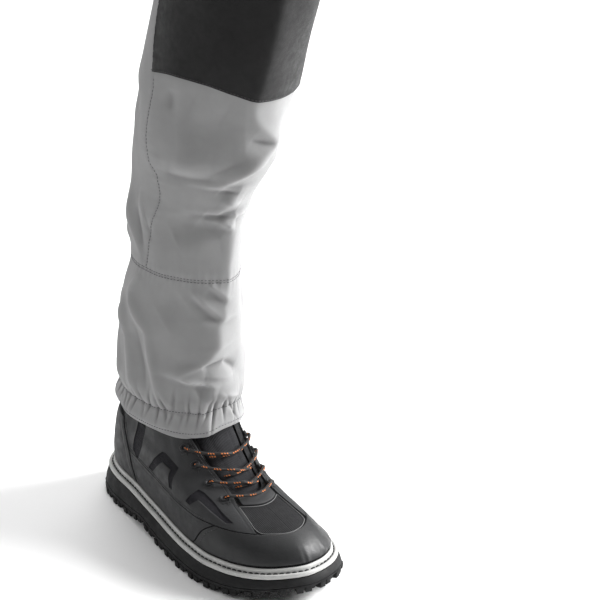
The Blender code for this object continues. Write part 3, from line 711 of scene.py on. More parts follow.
def pinches():
    """Places of the tucks that the elastic draws into the hem, set out unevenly around the leg."""
    chance = np.random.default_rng(SEED + 1)
    rows = []
    place = 0.0
    while place < ROUND - TUCK_LAST:
        place = place + chance.uniform(*TUCK_PITCH)
        spans = (TUCK_LEAN, TUCK_DEPTH, TUCK_UP, TUCK_DOWN)
        rows.append([place] + [chance.uniform(*span) for span in spans])
    return rows


def gathers(z, phi):
    """Tucks along the casing, the fabric blousing over it and the band flaring under it."""
    above = z - CASING
    drawn = np.minimum(DRAWN_IN[0], np.clip(along(BOOT_ROOM, 2, phi) - TUCK_ROOM, 0.0, None))
    value = ridge(above, BLOUSE) - ridge(above, CASING_LINE) - ridge(above, (drawn,) + DRAWN_IN[1:])
    value = value + FLARE * np.clip(-above / FLARE_RUN, 0.0, 1.0) - ridge(z - HEM, HEM_TURN)
    tucks = np.zeros(np.shape(value))
    for place, lean, depth, up, down in pinches():
        away = (around(phi) - place - lean * above + ROUND / 2.0) % ROUND - ROUND / 2.0
        fade = np.where(above < 0.0, bump(above, down), bump(above, up))
        groove = TUCK_GROOVE * crease(away, TUCK_GROOVE_SOFT, TUCK_GROOVE_REACH)
        tucks = tucks + fade * depth * (TUCK_HUMP * bump(away, TUCK_HUMP_HALF) - groove)
    value = value + np.clip(tucks, GATHER_DEEPEST, GATHER_HIGHEST)
    return value + ridge(z - HEM, HEM_ROLL) - ridge(z - HEM, HEM_LINE)


def sag(z, phi):
    """How much lower the guard hangs over the lateral side of the instep."""
    return SAG * bump(phi - SAG_ANGLE, SAG_HALF) * np.exp(-np.clip(z - HEM, 0.0, None) / SAG_FADE)


def seams(z, phi):
    """Shallow channels and small puckers along the sewn lines."""
    above = z - GUARD_SEAM
    value = ridge(above, SEAM_RIDGE) - SEAM_CHANNEL * bump(above, SEAM_CHANNEL_HALF)
    wave = np.cos(2.0 * pi * around(phi) / SEAM_PUCKER_PITCH)
    value = value + SEAM_PUCKER * wave * np.exp(-np.abs(above) / PUCKER_FADE)
    line = along(SIDE_SEAM, 1, z)
    started = np.clip(above / SIDE_SEAM_START, 0.0, 1.0)
    wave = np.cos(2.0 * pi * z / SIDE_PUCKER_PITCH)
    for side in (-1.0, 1.0):
        away = apart(phi, side * line)
        value = value - started * SIDE_CHANNEL * bump(away, SEAM_CHANNEL_HALF)
        value = value + started * SIDE_PUCKER * wave * np.exp(-np.abs(away) / PUCKER_FADE)
    return value


def swell(z, phi):
    """Slow unevenness of hanging fabric."""
    chance = np.random.default_rng(SEED)
    turn = 2.0 * pi * around(phi) / ROUND
    value = np.zeros(np.shape(z))
    for count in SWELL_WAVES:
        rate = chance.uniform(-1.0, 1.0) * 2.0 * pi / SWELL_RUN
        height = chance.uniform(*SWELL_HEIGHT)
        value = value + height * np.cos(count * turn + rate * z + chance.uniform(0.0, 2.0 * pi))
    return value


def boot_room(z, phi):
    """How far the fabric may go in before it meets the boot under it."""
    room = np.minimum(along(BOOT_ROOM, 1, phi) + ROOM_RISE * (z - HEM), along(BOOT_ROOM, 2, phi))
    return room + np.clip(z - BOOT_TOP, 0.0, None)


def cloth(z, phi):
    """How far the fabric stands out from the plain leg."""
    value = shin(z, phi) + gathers(z, phi) + seams(z, phi) + swell(z, phi)
    for row in FOLDS:
        value = value + fold(z, phi, row)
    return np.maximum(value, -boot_room(z, phi))


def leg_face(z, phi, lift=0.0):
    """Plain face of the leg at height z; angle 0 is the front, positive angles are medial."""
    z, phi = np.broadcast_arrays(np.asarray(z, dtype=float), np.asarray(phi, dtype=float))
    centre_x, centre_y, back, front, side, power, rise = [along(LEG, i, z) for i in range(1, 8)]
    ahead = np.sign(np.cos(phi)) * np.abs(np.cos(phi)) ** (2.0 / power)
    across = np.sign(np.sin(phi)) * np.abs(np.sin(phi)) ** (2.0 / power)
    x = centre_x + (np.where(ahead > 0.0, front, back) + lift) * ahead
    y = centre_y + (side + lift) * across
    return np.stack([x, y, z + rise * np.clip(ahead, 0.0, 1.0) ** 2 - sag(z, phi)], -1)


def leg_cloth(z, phi, lift=0.0):
    """Outer face of the folded fabric."""
    z, phi = np.broadcast_arrays(np.asarray(z, dtype=float), np.asarray(phi, dtype=float))
    return leg_face(z, phi, cloth(z, phi) + lift)


def leg_row(z, phi, lift):
    """A sewn line on the fabric with the outward directions along it."""
    path = leg_cloth(z, phi, lift)
    turn = leg_cloth(z, phi + LEG_TURN_STEP) - leg_cloth(z, phi - LEG_TURN_STEP)
    rise = leg_cloth(z + LEG_RISE_STEP, phi) - leg_cloth(z - LEG_RISE_STEP, phi)
    return path, unit(np.cross(turn, rise))


def upper_row(v, theta, lift):
    """A sewn line on the boot with the outward directions along it."""
    return upper_face(v, theta, lift), upper_normal(v, theta)


# Materials. A pattern has a scale and a detail; wear lowers and raises the roughness
PATTERN_LOW = 0.3
PATTERN_HIGH = 0.7
PATTERN_ROUGHNESS = 0.55
STRIPE_PITCH = pi / 10.0
CLOTH_BLOTCH = (38.0, 4.0)
CLOTH_BLOTCH_SHARE = 0.85
CLOTH_WEAR = (160.0, 3.0)
CLOTH_WEAR_REACH = (0.06, 0.08)
CLOTH_FUZZ = (260.0, 5.0)
CLOTH_FUZZ_DEPTH = 0.00012
WEAVE_WANDER = 0.6
WEAVE_SHARE = 0.22
WEAVE_DEPTH = 0.00008
# Painted shade in the fabric's hollows and painted light on its proud folds, as factors on its colour
PAINTED_HOLLOW_SHADE = 0.70
PAINTED_FOLD_LIGHT = 1.30
GRAIN_BLOTCH = (45.0, 5.0)
GRAIN_WEAR = (120.0, 4.0)
GRAIN_WEAR_REACH = (0.08, 0.10)
GRAIN_PORES = (900.0, 3.0)
GRAIN_PORE_SHARE = 0.6
RIB_WANDER = 0.4
RIB_DEPTH = 0.00035
RIB_GLOSS = 0.25
RIB_WEAR = (150.0, 3.0)
RIB_WEAR_REACH = (0.05, 0.08)
RIB_LINT = (700.0, 3.0)
RIB_LINT_DEPTH = 0.00010


def add_node(tree, kind, inputs=(), **settings):
    made = tree.nodes.new("ShaderNode" + kind)
    for name, value in settings.items():
        setattr(made, name, value)
    for name, value in dict(inputs).items():
        made.inputs[name].default_value = value
    return made


def start_material(name, roughness, **sockets):
    made = bpy.data.materials.new(name)
    made.use_nodes = True
    shader = made.node_tree.nodes["Principled BSDF"]
    shader.inputs["Roughness"].default_value = roughness
    for socket, value in sockets.items():
        shader.inputs[socket.replace("_", " ")].default_value = value
    return made, made.node_tree, shader


def places(tree, kind="Object"):
    return add_node(tree, "TexCoord").outputs[kind]


def noise(tree, where, scale, detail=3.0):
    made = add_node(tree, "TexNoise", {"Scale": scale, "Detail": detail, "Roughness": PATTERN_ROUGHNESS})
    tree.links.new(where, made.inputs["Vector"])
    return made.outputs["Fac"]


def stripes(tree, where, pitch, direction, distortion=0.0):
    """Waves with the given pitch in metres along X or Y of the texture places."""
    inputs = {"Scale": STRIPE_PITCH / pitch, "Distortion": distortion, "Detail": 1.0}
    made = add_node(tree, "TexWave", inputs, bands_direction=direction)
    tree.links.new(where, made.inputs["Vector"])
    return made.outputs["Fac"]


def combine(tree, operation, first, second):
    made = add_node(tree, "Math", operation=operation)
    for socket, value in zip(made.inputs, (first, second)):
        if isinstance(value, float):
            socket.default_value = value
        else:
            tree.links.new(value, socket)
    return made.outputs["Value"]


def tint(tree, shader, amount, dark, light):
    """Base colour between two shades by a pattern."""
    ramp = add_node(tree, "ValToRGB")
    ends = ((PATTERN_LOW, dark), (PATTERN_HIGH, light))
    for element, (position, colour) in zip(ramp.color_ramp.elements, ends):
        element.position = position
        element.color = (*colour, 1.0)
    tree.links.new(amount, ramp.inputs["Fac"])
    tree.links.new(ramp.outputs["Color"], shader.inputs["Base Color"])
    return ramp.outputs["Color"]


def remap(tree, amount, low, high, to_low, to_high):
    """A pattern's values between two limits brought to two other limits."""
    limits = {"From Min": low, "From Max": high, "To Min": to_low, "To Max": to_high}
    made = add_node(tree, "MapRange", limits)
    tree.links.new(amount, made.inputs["Value"])
    return made.outputs["Result"]


def wear(tree, shader, amount, roughness, reach):
    """Roughness lowered and raised by a pattern."""
    worn = remap(tree, amount, PATTERN_LOW, PATTERN_HIGH, roughness - reach[0], roughness + reach[1])
    tree.links.new(worn, shader.inputs["Roughness"])


def relief(tree, shader, layers):
    """Bumps on top of each other: a height pattern and its depth in metres."""
    last = None
    for height, depth in layers:
        made = add_node(tree, "Bump", {"Strength": 1.0, "Distance": depth})
        tree.links.new(height, made.inputs["Height"])
        if last is not None:
            tree.links.new(last, made.inputs["Normal"])
        last = made.outputs["Normal"]
    tree.links.new(last, shader.inputs["Normal"])


def woven(name, dark, light, roughness, pitch, gloss, crease_shaded=False):
    """Plain-woven shell fabric with slow changes of tone; crease_shaded adds painted shade in hollows,
    light on folds.
    """
    made, tree, shader = start_material(name, roughness, Specular_IOR_Level=gloss, Diffuse_Roughness=1.0)
    where = places(tree)
    flat = places(tree, "UV")
    warp = stripes(tree, flat, pitch, "X", WEAVE_WANDER)
    weft = stripes(tree, flat, pitch, "Y", WEAVE_WANDER)
    weave = combine(tree, "MULTIPLY", warp, weft)
    slow = combine(tree, "MULTIPLY", noise(tree, where, *CLOTH_BLOTCH), CLOTH_BLOTCH_SHARE)
    fine = combine(tree, "MULTIPLY", weave, WEAVE_SHARE)
    colour = tint(tree, shader, combine(tree, "ADD", slow, fine), dark, light)
    # Painted shade and painted light: the colour is darkened where the fabric lies in a hollow and
    # lightened on its proud folds
    if crease_shaded:
        painted_crease_shade = add_node(tree, "Attribute", attribute_name="painted_crease_shade")
        factor = remap(tree, painted_crease_shade.outputs["Fac"], -1.0, 1.0, PAINTED_HOLLOW_SHADE, PAINTED_FOLD_LIGHT)
        shaded = add_node(tree, "VectorMath", operation="SCALE")
        tree.links.new(colour, shaded.inputs[0])
        tree.links.new(factor, shaded.inputs["Scale"])
        tree.links.new(shaded.outputs["Vector"], shader.inputs["Base Color"])
    wear(tree, shader, noise(tree, where, *CLOTH_WEAR), roughness, CLOTH_WEAR_REACH)
    relief(tree, shader, [(weave, WEAVE_DEPTH), (noise(tree, where, *CLOTH_FUZZ), CLOTH_FUZZ_DEPTH)])
    return made


def grained(name, dark, light, roughness, grain, depth, gloss=0.3):
    """Moulded or coated material with a fine pebbled grain."""
    made, tree, shader = start_material(name, roughness, Specular_IOR_Level=gloss)
    where = places(tree)
    cells = add_node(tree, "TexVoronoi", {"Scale": 1.0 / grain}, feature="SMOOTH_F1")
    tree.links.new(where, cells.inputs["Vector"])
    tint(tree, shader, noise(tree, where, *GRAIN_BLOTCH), dark, light)
    wear(tree, shader, noise(tree, where, *GRAIN_WEAR), roughness, GRAIN_WEAR_REACH)
    pores = noise(tree, where, *GRAIN_PORES)
    relief(tree, shader, [(cells.outputs["Distance"], depth), (pores, depth * GRAIN_PORE_SHARE)])
    return made


def ribbed(name, dark, light, roughness, pitch, cross):
    """Mesh textile with ribs and finer cross threads."""
    made, tree, shader = start_material(name, roughness, Specular_IOR_Level=RIB_GLOSS)
    flat = places(tree, "UV")
    rib = stripes(tree, flat, pitch, "X", RIB_WANDER)
    thread = stripes(tree, flat, cross, "Y", RIB_WANDER)
    half = combine(tree, "MULTIPLY", thread, 0.5)
    net = combine(tree, "MULTIPLY", rib, combine(tree, "ADD", half, 0.5))
    tint(tree, shader, net, dark, light)
    where = places(tree)
    wear(tree, shader, noise(tree, where, *RIB_WEAR), roughness, RIB_WEAR_REACH)
    relief(tree, shader, [(net, RIB_DEPTH), (noise(tree, where, *RIB_LINT), RIB_LINT_DEPTH)])
    return made


# Each has its dark and light shade and its roughness. Then woven cloth has the pitch of its threads in
# metres and its gloss, grained material the size and depth of its grain, ribbed cloth its two pitches
# The wader fabric carries painted shade in its hollows and painted light on its proud folds
FABRIC = woven("wader_fabric_weave_crease_shaded", (0.340, 0.340, 0.342), (0.384, 0.384, 0.386), 0.72, 0.0007, 0.30, True)
KNEE_FABRIC = woven(
    "knee_fabric_weave", (0.0060, 0.0058, 0.0062), (0.0094, 0.0091, 0.0096), 0.54, 0.0008, 0.20
)
SYNTHETIC = grained(
    "boot_synthetic_grain", (0.0214, 0.0218, 0.0230), (0.0240, 0.0244, 0.0258), 0.58, 0.0011, 0.00009
)
CAP = grained(
    "toe_cap_grain", (0.0106, 0.0110, 0.0117), (0.0143, 0.0147, 0.0157), 0.48, 0.0012, 0.00007, gloss=0.38
)
MESH = ribbed("boot_mesh", (0.0063, 0.0063, 0.0071), (0.0195, 0.0195, 0.0210), 0.80, 0.0014, 0.0012)
WINDOW_MESH = ribbed("window_mesh", (0.011, 0.0105, 0.0135), (0.019, 0.018, 0.0225), 0.82, 0.0012, 0.0010)
TONGUE_CLOTH = ribbed("tongue_mesh", (0.011, 0.011, 0.0125), (0.030, 0.030, 0.0335), 0.86, 0.0013, 0.0011)
RUBBER = grained(
    "tread_rubber_grain", (0.010, 0.010, 0.0105), (0.017, 0.017, 0.0175), 0.70, 0.0016, 0.00012, gloss=0.2
)
FOAM = grained(
    "midsole_rubber_grain", (0.009, 0.009, 0.0095), (0.014, 0.014, 0.0145), 0.66, 0.0013, 0.00008, gloss=0.2
)
WELT_GREY = grained("welt_rubber", (0.40, 0.40, 0.39), (0.50, 0.50, 0.49), 0.52, 0.0010, 0.00005)
PLASTIC = grained("eyelet_moulding", (0.018, 0.018, 0.019), (0.028, 0.028, 0.030), 0.50, 0.0009, 0.00005)
FOOTBED = woven("footbed_cloth", (0.045, 0.045, 0.047), (0.065, 0.065, 0.067), 0.90, 0.0010, 0.20)
BOOT_THREAD = grained("boot_thread", (0.050, 0.050, 0.052), (0.075, 0.075, 0.077), 0.75, 0.0005, 0.00006)
SEAM_THREAD = grained("seam_thread", (0.10, 0.10, 0.105), (0.14, 0.14, 0.145), 0.80, 0.0005, 0.00006)
PIPING = grained("vamp_piping", (0.11, 0.11, 0.11), (0.16, 0.16, 0.16), 0.65, 0.0005, 0.00005)
LACE_GREY = ribbed("lace_braid", (0.022, 0.021, 0.021), (0.060, 0.058, 0.056), 0.82, 0.0012, 0.0010)
LACE_FLECK = ribbed("lace_fleck", (0.50, 0.14, 0.035), (0.86, 0.27, 0.075), 0.75, 0.0012, 0.0010)


# Sole pieces
SOLE_COLUMNS = 320
CORNER_CUT = 0.25


def rounded(section, rounds=2):
    """A closed section with its corners cut back, again and again."""
    for step in range(rounds):
        after = np.roll(section, -1, axis=0)
        near = (1.0 - CORNER_CUT) * section + CORNER_CUT * after
        far = CORNER_CUT * section + (1.0 - CORNER_CUT) * after
        section = np.stack([near, far], 1).reshape(-1, 2)
    return section


def sole_ring(turn, inset, height):
    """Points around the sole's plan, with their heights from a function of the station."""
    plan = outline(turn, inset)
    return np.column_stack([plan, height(plan[:, 0])])


def add_stack(name, rows, made):
    """A closed body from rings of the sole's plan, with its ends bridged from side to side."""
    count = SOLE_COLUMNS
    rings = [sole_ring(angles(count), inset, height) for inset, height in rows]
    faces = grid_faces(len(rings), count, True)[0].tolist()
    half = count // 2
    for base in (0, (len(rings) - 1) * count):
        for j in range(half):
            cap = (base + j, base + j + 1, base + (count - j - 1) % count, base + (count - j) % count)
            faces.append(tuple(dict.fromkeys(cap)))
    return turn_outward(add_piece(name, np.concatenate(rings), faces, [made], sharp=CRISP))


def between(share, lower, upper):
    """Height between two of the sole's faces."""
    return lambda x: (1.0 - share) * lower(x) + share * upper(x)


def tread_low(x):
    return ground(x) + LUG_DEPTH


def midsole_low(x):
    return tread_top(x) + GAP


def midsole_top(x):
    return welt_low(x) - GAP


MIDSOLE_ROWS = [
    # inset, share of the height
    (-2.6, 0.00),
    (-3.1, 0.02),
    (-3.2, 0.06),
    (-2.9, 0.22),
    (-2.4, 0.40),
    (-1.8, 0.55),
    (-1.1, 0.70),
    (-0.3, 0.88),
    (0.1, 0.96),
    (0.6, 1.00),
]
TREAD_ROWS = [
    # inset, share of the height
    (-1.6, 0.00),
    (-2.9, 0.10),
    (-3.6, 0.28),
    (-3.8, 0.40),
    (-3.7, 0.75),
    (-3.5, 0.95),
    (-3.0, 1.00),
]
RIM_LUGS = 32
RIM_START = 0.18
RIM_OUTSIDE = -4.0
RIM_SHORT = 9.0
RIM_LONG = 14.0
LUG_BEVEL = 0.7
LUG_FOOT = 0.93
LUG_ROOT = 1.0
LUG_PROFILE = 0.6
LUG_BLOCKS = [
    # first and last share of the pitch, height of the foot, outside, drawn in
    (0.00, 0.29, 0.0, 1.0, 0.0),
    (0.36, 0.64, 0.0, 0.2, 2.0),
    (0.27, 0.38, 1.6, -0.6, 3.0),
    (0.62, 0.80, 2.4, -0.4, 3.0),
]
CENTRE_LUGS = [
    # station, half_length, inner, outer, sweep
    (30.0, 7.0, -11.0, 11.0, 0.0),
    (52.0, 9.0, -12.0, 12.0, 0.0),
    (76.0, 8.0, -13.0, 13.0, 0.0),
    (160.0, 6.5, 3.0, 22.0, 6.0),
    (182.0, 6.5, 3.0, 26.0, 6.0),
    (204.0, 6.5, 3.0, 30.0, 6.0),
    (226.0, 6.5, 3.0, 32.0, 6.0),
    (248.0, 6.5, 3.0, 32.0, 6.0),
    (270.0, 6.5, 3.0, 26.0, 6.0),
    (290.0, 6.0, 3.0, 18.0, 4.0),
]


def lug_corners(corners, raised=0.0):
    """Eight corners of a block under the tread, drawn in a little towards its foot."""
    corners = np.array(corners)
    middle = corners.mean(axis=0)
    foot = middle + (corners - middle) * LUG_FOOT
    low = np.column_stack([foot, ground(foot[:, 0]) + raised])
    high = np.column_stack([corners, ground(corners[:, 0]) + LUG_DEPTH + LUG_ROOT])
    return np.concatenate([low, high])


def lug_blocks():
    """Rim lugs in two blocks with low steps beside them, and bars or chevrons down the middle."""
    dense = np.linspace(0.0, 2.0 * pi, 721)
    rim = outline(dense, RIM_OUTSIDE)
    run = run_along(rim)
    blocks = []
    for number in range(RIM_LUGS):
        depth = RIM_SHORT if number % 2 else RIM_LONG
        for first, last, raised, further, drawn in LUG_BLOCKS:
            ends = (np.array([first, last]) + number + RIM_START) / RIM_LUGS * run[-1]
            theta = np.interp(ends, run, dense)
            outside = outline(theta, RIM_OUTSIDE - further)
            inside = outline(theta, depth - drawn)
            blocks.append(lug_corners([outside[0], outside[1], inside[1], inside[0]], raised))
    for station, half, inner, outer, sweep in CENTRE_LUGS:
        turn = np.arccos(2.0 * station / SOLE_LENGTH - 1.0)
        middle = float(outline([turn])[0, 1] + outline([-turn])[0, 1]) / 2.0
        front = station + half
        back = station - half
        if inner < 0.0:
            blocks.append(lug_corners([(back, inner), (front, inner), (front, outer), (back, outer)]))
            continue
        for side in (-1.0, 1.0):
            near = middle + side * inner
            far = middle + side * outer
            corners = [(back, near), (front, near), (front - sweep, far), (back - sweep, far)]
            blocks.append(lug_corners(corners))
    return blocks


def make_outsole():
    rows = [(inset, between(share, tread_low, tread_top)) for inset, share in TREAD_ROWS]
    piece = add_stack("outsole_detail", rows, RUBBER)
    work = bmesh.new()
    for block in lug_blocks():
        corners = [work.verts.new((p - (HEEL_REACH, 0.0, 0.0)) * MM) for p in block]
        sides = [(0, 1, 2, 3), (7, 6, 5, 4)] + [(j, 4 + j, 4 + (j + 1) % 4, (j + 1) % 4) for j in range(4)]
        for side in sides:
            work.faces.new([corners[i] for i in side])
    bmesh.ops.recalc_face_normals(work, faces=work.faces)
    bmesh.ops.bevel(
        work,
        geom=work.edges[:],
        offset=LUG_BEVEL * MM,
        segments=2,
        profile=LUG_PROFILE,
        affect="EDGES",
        clamp_overlap=True,
    )
    work.from_mesh(piece.data)
    work.to_mesh(piece.data)
    work.free()
    piece.data.shade_smooth()
    piece.data.set_sharp_from_angle(angle=CRISP)
    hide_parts("outsole")


def make_midsole():
    rows = [(inset, between(share, midsole_low, midsole_top)) for inset, share in MIDSOLE_ROWS]
    piece = add_stack("midsole_detail", rows, FOAM)
    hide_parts("midsole")


WELT_SECTION = [
    # inset, rise
    (1.0, 0.0),
    (0.0, 1.0),
    (0.2, 3.8),
    (1.4, 4.8),
    (3.2, 4.6),
    (3.8, 3.8),
    (4.8, 3.9),
    (5.2, 7.8),
    (6.2, 9.0),
    (7.7, 9.0),
    (7.7, 0.0),
]
WELT_STITCH_INSET = 4.2
WELT_STITCH_RISE = 4.6

# Stitches: length, gap and radius
WELT_STITCH = (4.6, 1.3, 0.75)
BOOT_STITCH = (2.4, 0.9, 0.33)
SEAM_STITCH = (2.3, 1.2, 0.30)
KNEE_STITCH = (2.3, 1.0, 0.34)


def make_welt():
    """Welt with an outer bead, a stitched groove and a bead against the upper."""
    section = rounded(np.array(WELT_SECTION))
    count = SOLE_COLUMNS
    rings = [sole_ring(angles(count), inset, lambda x: welt_low(x) + rise) for inset, rise in section]
    corners = grid_faces(len(rings) + 1, count, True)[0] % (len(rings) * count)
    points = np.concatenate(rings)
    piece = turn_outward(add_piece("welt_detail", points, corners, [WELT_GREY], sharp=BEADED))
    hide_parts("welt")
    turn = np.linspace(0.0, 2.0 * pi, 900)
    path = sole_ring(turn, WELT_STITCH_INSET, lambda x: welt_low(x) + WELT_STITCH_RISE)
    upright = np.tile((0.0, 0.0, 1.0), (len(turn), 1))
    thread = add_stitches("welt_stitches", [(path, upright)], *WELT_STITCH, PLASTIC)


# Boot pieces
UPPER_COLUMNS = 300
THROAT_ROWS = [6.02, 6.05, 6.12, 6.2, 6.3]
THROAT_OPEN = 6.4

# Tongue: its slices, tuck under the eyestays and seat under the wall, then its crown and quilting
TONGUE_FOOT = 5.3
TONGUE_TIP = 11.6
TONGUE_FREE = 6.3
TONGUE_TUCK = 7.0
TONGUE_SEAT = 1.2
CROWN = 3.0
CROWN_RUN = 0.5
CROWN_HALF = 0.74
CROWN_POWER = 6
QUILT_FROM = 6.6
QUILT_RUN = 0.3
QUILT = (0.3, 0.34, 0.05)
RIPPLE = 0.25
RIPPLE_UP = 5.0
RIPPLE_ACROSS = 2.0


def make_upper():
    """Hollow mesh-faced upper: closed rings below the throat, open ones above it."""
    share = np.linspace(0.0, 1.0, UPPER_COLUMNS + 1)
    closed = np.linspace(0.0, THROAT_BASE, 50)
    opened = np.concatenate([THROAT_ROWS, np.linspace(THROAT_OPEN, COLLAR, 46)])
    v = np.concatenate([closed, opened])
    theta = np.tile(share * 2.0 * pi, (len(v), 1))
    for i in range(len(closed), len(v)):
        first = throat_angle(v[i], 1.0)
        last = 2.0 * pi - throat_angle(v[i], -1.0)
        theta[i] = first + share * (last - first)
    outer = upper_face(v[:, None], theta)
    inner = upper_face(v[:, None], theta, -UPPER_WALL)
    piece = add_shell("upper_detail", outer, inner, [MESH])
    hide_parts("upper")


def make_tongue():
    """Padded tongue, crowned between the eyestays and quilted in two soft channels."""
    v = np.linspace(TONGUE_FOOT, TONGUE_TIP, 90)
    share = np.linspace(-1.0, 1.0, 61)
    theta = np.zeros((len(v), len(share)))
    for i, at in enumerate(v):
        left = throat_angle(max(at, TONGUE_FREE), -1.0, TONGUE_TUCK)
        right = throat_angle(max(at, TONGUE_FREE), 1.0, TONGUE_TUCK)
        theta[i] = np.where(share < 0.0, share * left, share * right)
    v = v[:, None]
    crown = CROWN * np.clip((v - TONGUE_FREE) / CROWN_RUN, 0.0, 1.0)
    crown = crown * np.clip(1.0 - (share / CROWN_HALF) ** CROWN_POWER, 0.0, 1.0)
    crown = crown - ridge(np.abs(share), QUILT) * np.clip((v - QUILT_FROM) / QUILT_RUN, 0.0, 1.0)
    crown = crown + RIPPLE * np.sin(RIPPLE_UP * v + RIPPLE_ACROSS * share)
    base = -(UPPER_WALL + TONGUE_SEAT)
    outer = upper_face(v, theta, base + crown)
    inner = upper_face(v, theta, base - TONGUE_THICK)
    piece = add_shell("tongue_padded", outer, inner, [TONGUE_CLOTH])
    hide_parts("tongue")


CAP_EDGE = [
    # slice, angle
    (1.0, 1.25),
    (2.4, 1.10),
    (3.2, 0.92),
]
COUNTER_EDGE = [
    # slice, angle
    (1.0, 2.05),
    (3.1, 2.15),
    (5.6, 2.29),
    (6.6, 2.35),
]
QUARTER_FRONT = [
    # slice, angle
    (3.2, 0.50),
    (5.0, 0.44),
    (5.9, 0.42),
    (6.3, 0.42),
    (7.0, 0.46),
    (8.0, 0.57),
    (9.0, 0.70),
    (9.6, 0.79),
]
OVERLAY_LOW = 1.04
RAND_TOP = 3.18
COUNTER_TOP = 5.7
QUARTER_LOW = 3.205
QUARTER_TOP = 9.6
BRIDGE_LOW = 4.95
BRIDGE_TOP = 5.86
BRIDGE_HALF = 0.38
SEAM = 0.005
EDGE_ROUND = 0.5
EDGE_LIFT = 0.2
EDGE_STEPS = np.array([0.0, 0.08, 0.2, 0.4, 0.8])
EDGE_ZONE = 1.6
OVERLAY_UNDER = 0.1
OVERLAY_STEP = 1.3

# Lines pressed into the panels: depth, distance from the edge, half width
CAP_LINE = (0.35, 3.0, 0.6)
COUNTER_LINE = (0.6, 2.2, 0.6)
COUNTER_GROOVE = (0.6, 9.6, 0.7)
RAND_LINE = (0.45, 2.8, 0.5)
SOLE_LINE = (0.45, 3.0, 0.5)
COLLAR_LINE = (0.4, 4.0, 0.6)
EYESTAY_LINE = (0.35, 4.0, 0.5)

# Raised band of the counter, and the cap's pleats with their height, middle angle and half width
BAND_HEIGHT = 0.7
BAND_WIDTH = 9.0
BAND_SOFT = 0.5
TOE_PLEATS = (0.32, 0.25, 0.55)
PLEATS_AROUND = 44.0
SECOND_PLEATS = 63.0
SECOND_SHARE = 0.6
PLEAT_FADE = 6.0


def cap_edge(v):
    return along(CAP_EDGE, 1, v)


def counter_edge(v):
    return along(COUNTER_EDGE, 1, v)


def quarter_front(v):
    return along(QUARTER_FRONT, 1, v)


def spread(length):
    """Shares along an edge, close together at both ends where the panel is rounded off."""
    near = EDGE_STEPS / length
    zone = EDGE_ZONE / length
    inside = np.linspace(zone, 1.0 - zone, max(int(length / OVERLAY_STEP), 4))
    return np.concatenate([near, inside, 1.0 - near[::-1]])


def add_overlay(name, low, high, first, last, made, emboss=None):
    """A panel on the upper with rounded edges. Emboss shapes it by the distances from its edges."""
    middle = (low + high) / 2.0
    wide = np.linspace(first(middle), last(middle), 60)
    tall = np.linspace(low, high, 60)
    centre = (first(middle) + last(middle)) / 2.0
    width = step_lengths(upper_point(middle, wide), 0).sum()
    height = step_lengths(upper_point(tall, centre), 0).sum()
    v = low + spread(height) * (high - low)
    share = spread(width)
    theta = first(v)[:, None] + share * (last(v) - first(v))[:, None]
    base = upper_point(v[:, None], theta)
    step = step_lengths(base, 1)
    from_first = np.concatenate([np.zeros((len(v), 1)), np.cumsum(step, axis=1)], 1)
    step = step_lengths(base, 0)
    from_low = np.concatenate([np.zeros((1, len(share))), np.cumsum(step, axis=0)], 0)
    to_last = from_first[:, -1:] - from_first
    to_high = from_low[-1:] - from_low
    edge = np.minimum(np.minimum(from_first, to_last), np.minimum(from_low, to_high))
    inward = np.clip(edge / EDGE_ROUND, 0.0, 1.0)
    lift = EDGE_LIFT + (OVERLAY_TOP - EDGE_LIFT) * np.sqrt(1.0 - (1.0 - inward) ** 2)
    if emboss is not None:
        lift = lift + emboss(theta, np.minimum(from_first, to_last), from_low, to_high) * inward
    outer = upper_face(v[:, None], theta, lift)
    inner = upper_face(v[:, None], theta, OVERLAY_UNDER)
    return add_shell(name, outer, inner, [made])


def toe_pleats(theta, from_ends, from_low, to_high):
    """Small pleats where the cap is drawn in under the welt, and a pressed line along its edge."""
    pleat = np.cos(PLEATS_AROUND * theta) + SECOND_SHARE * np.cos(SECOND_PLEATS * theta + 1.0)
    return ridge(theta, TOE_PLEATS) * pleat * np.exp(-from_low / PLEAT_FADE) - ridge(from_ends, CAP_LINE)


def counter_relief(theta, from_ends, from_low, to_high):
    """A raised band down each front edge of the counter, between two grooves."""
    band = BAND_HEIGHT / (1.0 + np.exp((from_ends - BAND_WIDTH) / BAND_SOFT))
    return band - ridge(from_ends, COUNTER_LINE) - ridge(from_ends, COUNTER_GROOVE)


def rand_relief(theta, from_ends, from_low, to_high):
    return -ridge(to_high, RAND_LINE)


def quarter_relief(theta, from_ends, from_low, to_high):
    """Pressed lines along the sole, the eyestay and the collar."""
    return -ridge(from_low, SOLE_LINE) - ridge(to_high, COLLAR_LINE) - ridge(from_ends, EYESTAY_LINE)


# Mesh windows in the quarters as outlines seen from the side
COLLAR_WINDOW = [
    # station, height
    (102.6, 108.0),
    (100.0, 90.1),
    (100.9, 80.5),
    (92.8, 63.9),
    (89.9, 62.8),
    (79.8, 67.0),
    (78.9, 72.9),
    (82.3, 87.0),
    (82.2, 99.3),
]
SIDE_WINDOW = [
    # station, height
    (117.5, 65.5),
    (137.5, 89.0),
    (143.0, 90.0),
    (168.5, 84.5),
    (172.0, 66.0),
    (165.5, 65.5),
    (161.0, 80.5),
    (144.5, 82.0),
    (126.5, 65.0),
]
FRONT_WINDOW = [
    # station, height
    (198.0, 65.5),
    (203.0, 76.0),
    (210.0, 75.0),
    (258.0, 62.6),
    (251.5, 61.6),
    (215.0, 69.5),
    (211.0, 70.0),
    (205.5, 64.5),
]
CUTTER_HALF = 90.0
WINDOW_SINK = 0.7
WINDOW_MESH_THICK = 0.4
WINDOW_MESH_LOW = QUARTER_LOW + 0.10
WINDOW_MESH_TOP = 7.4
WINDOW_MESH_INSET = 0.06


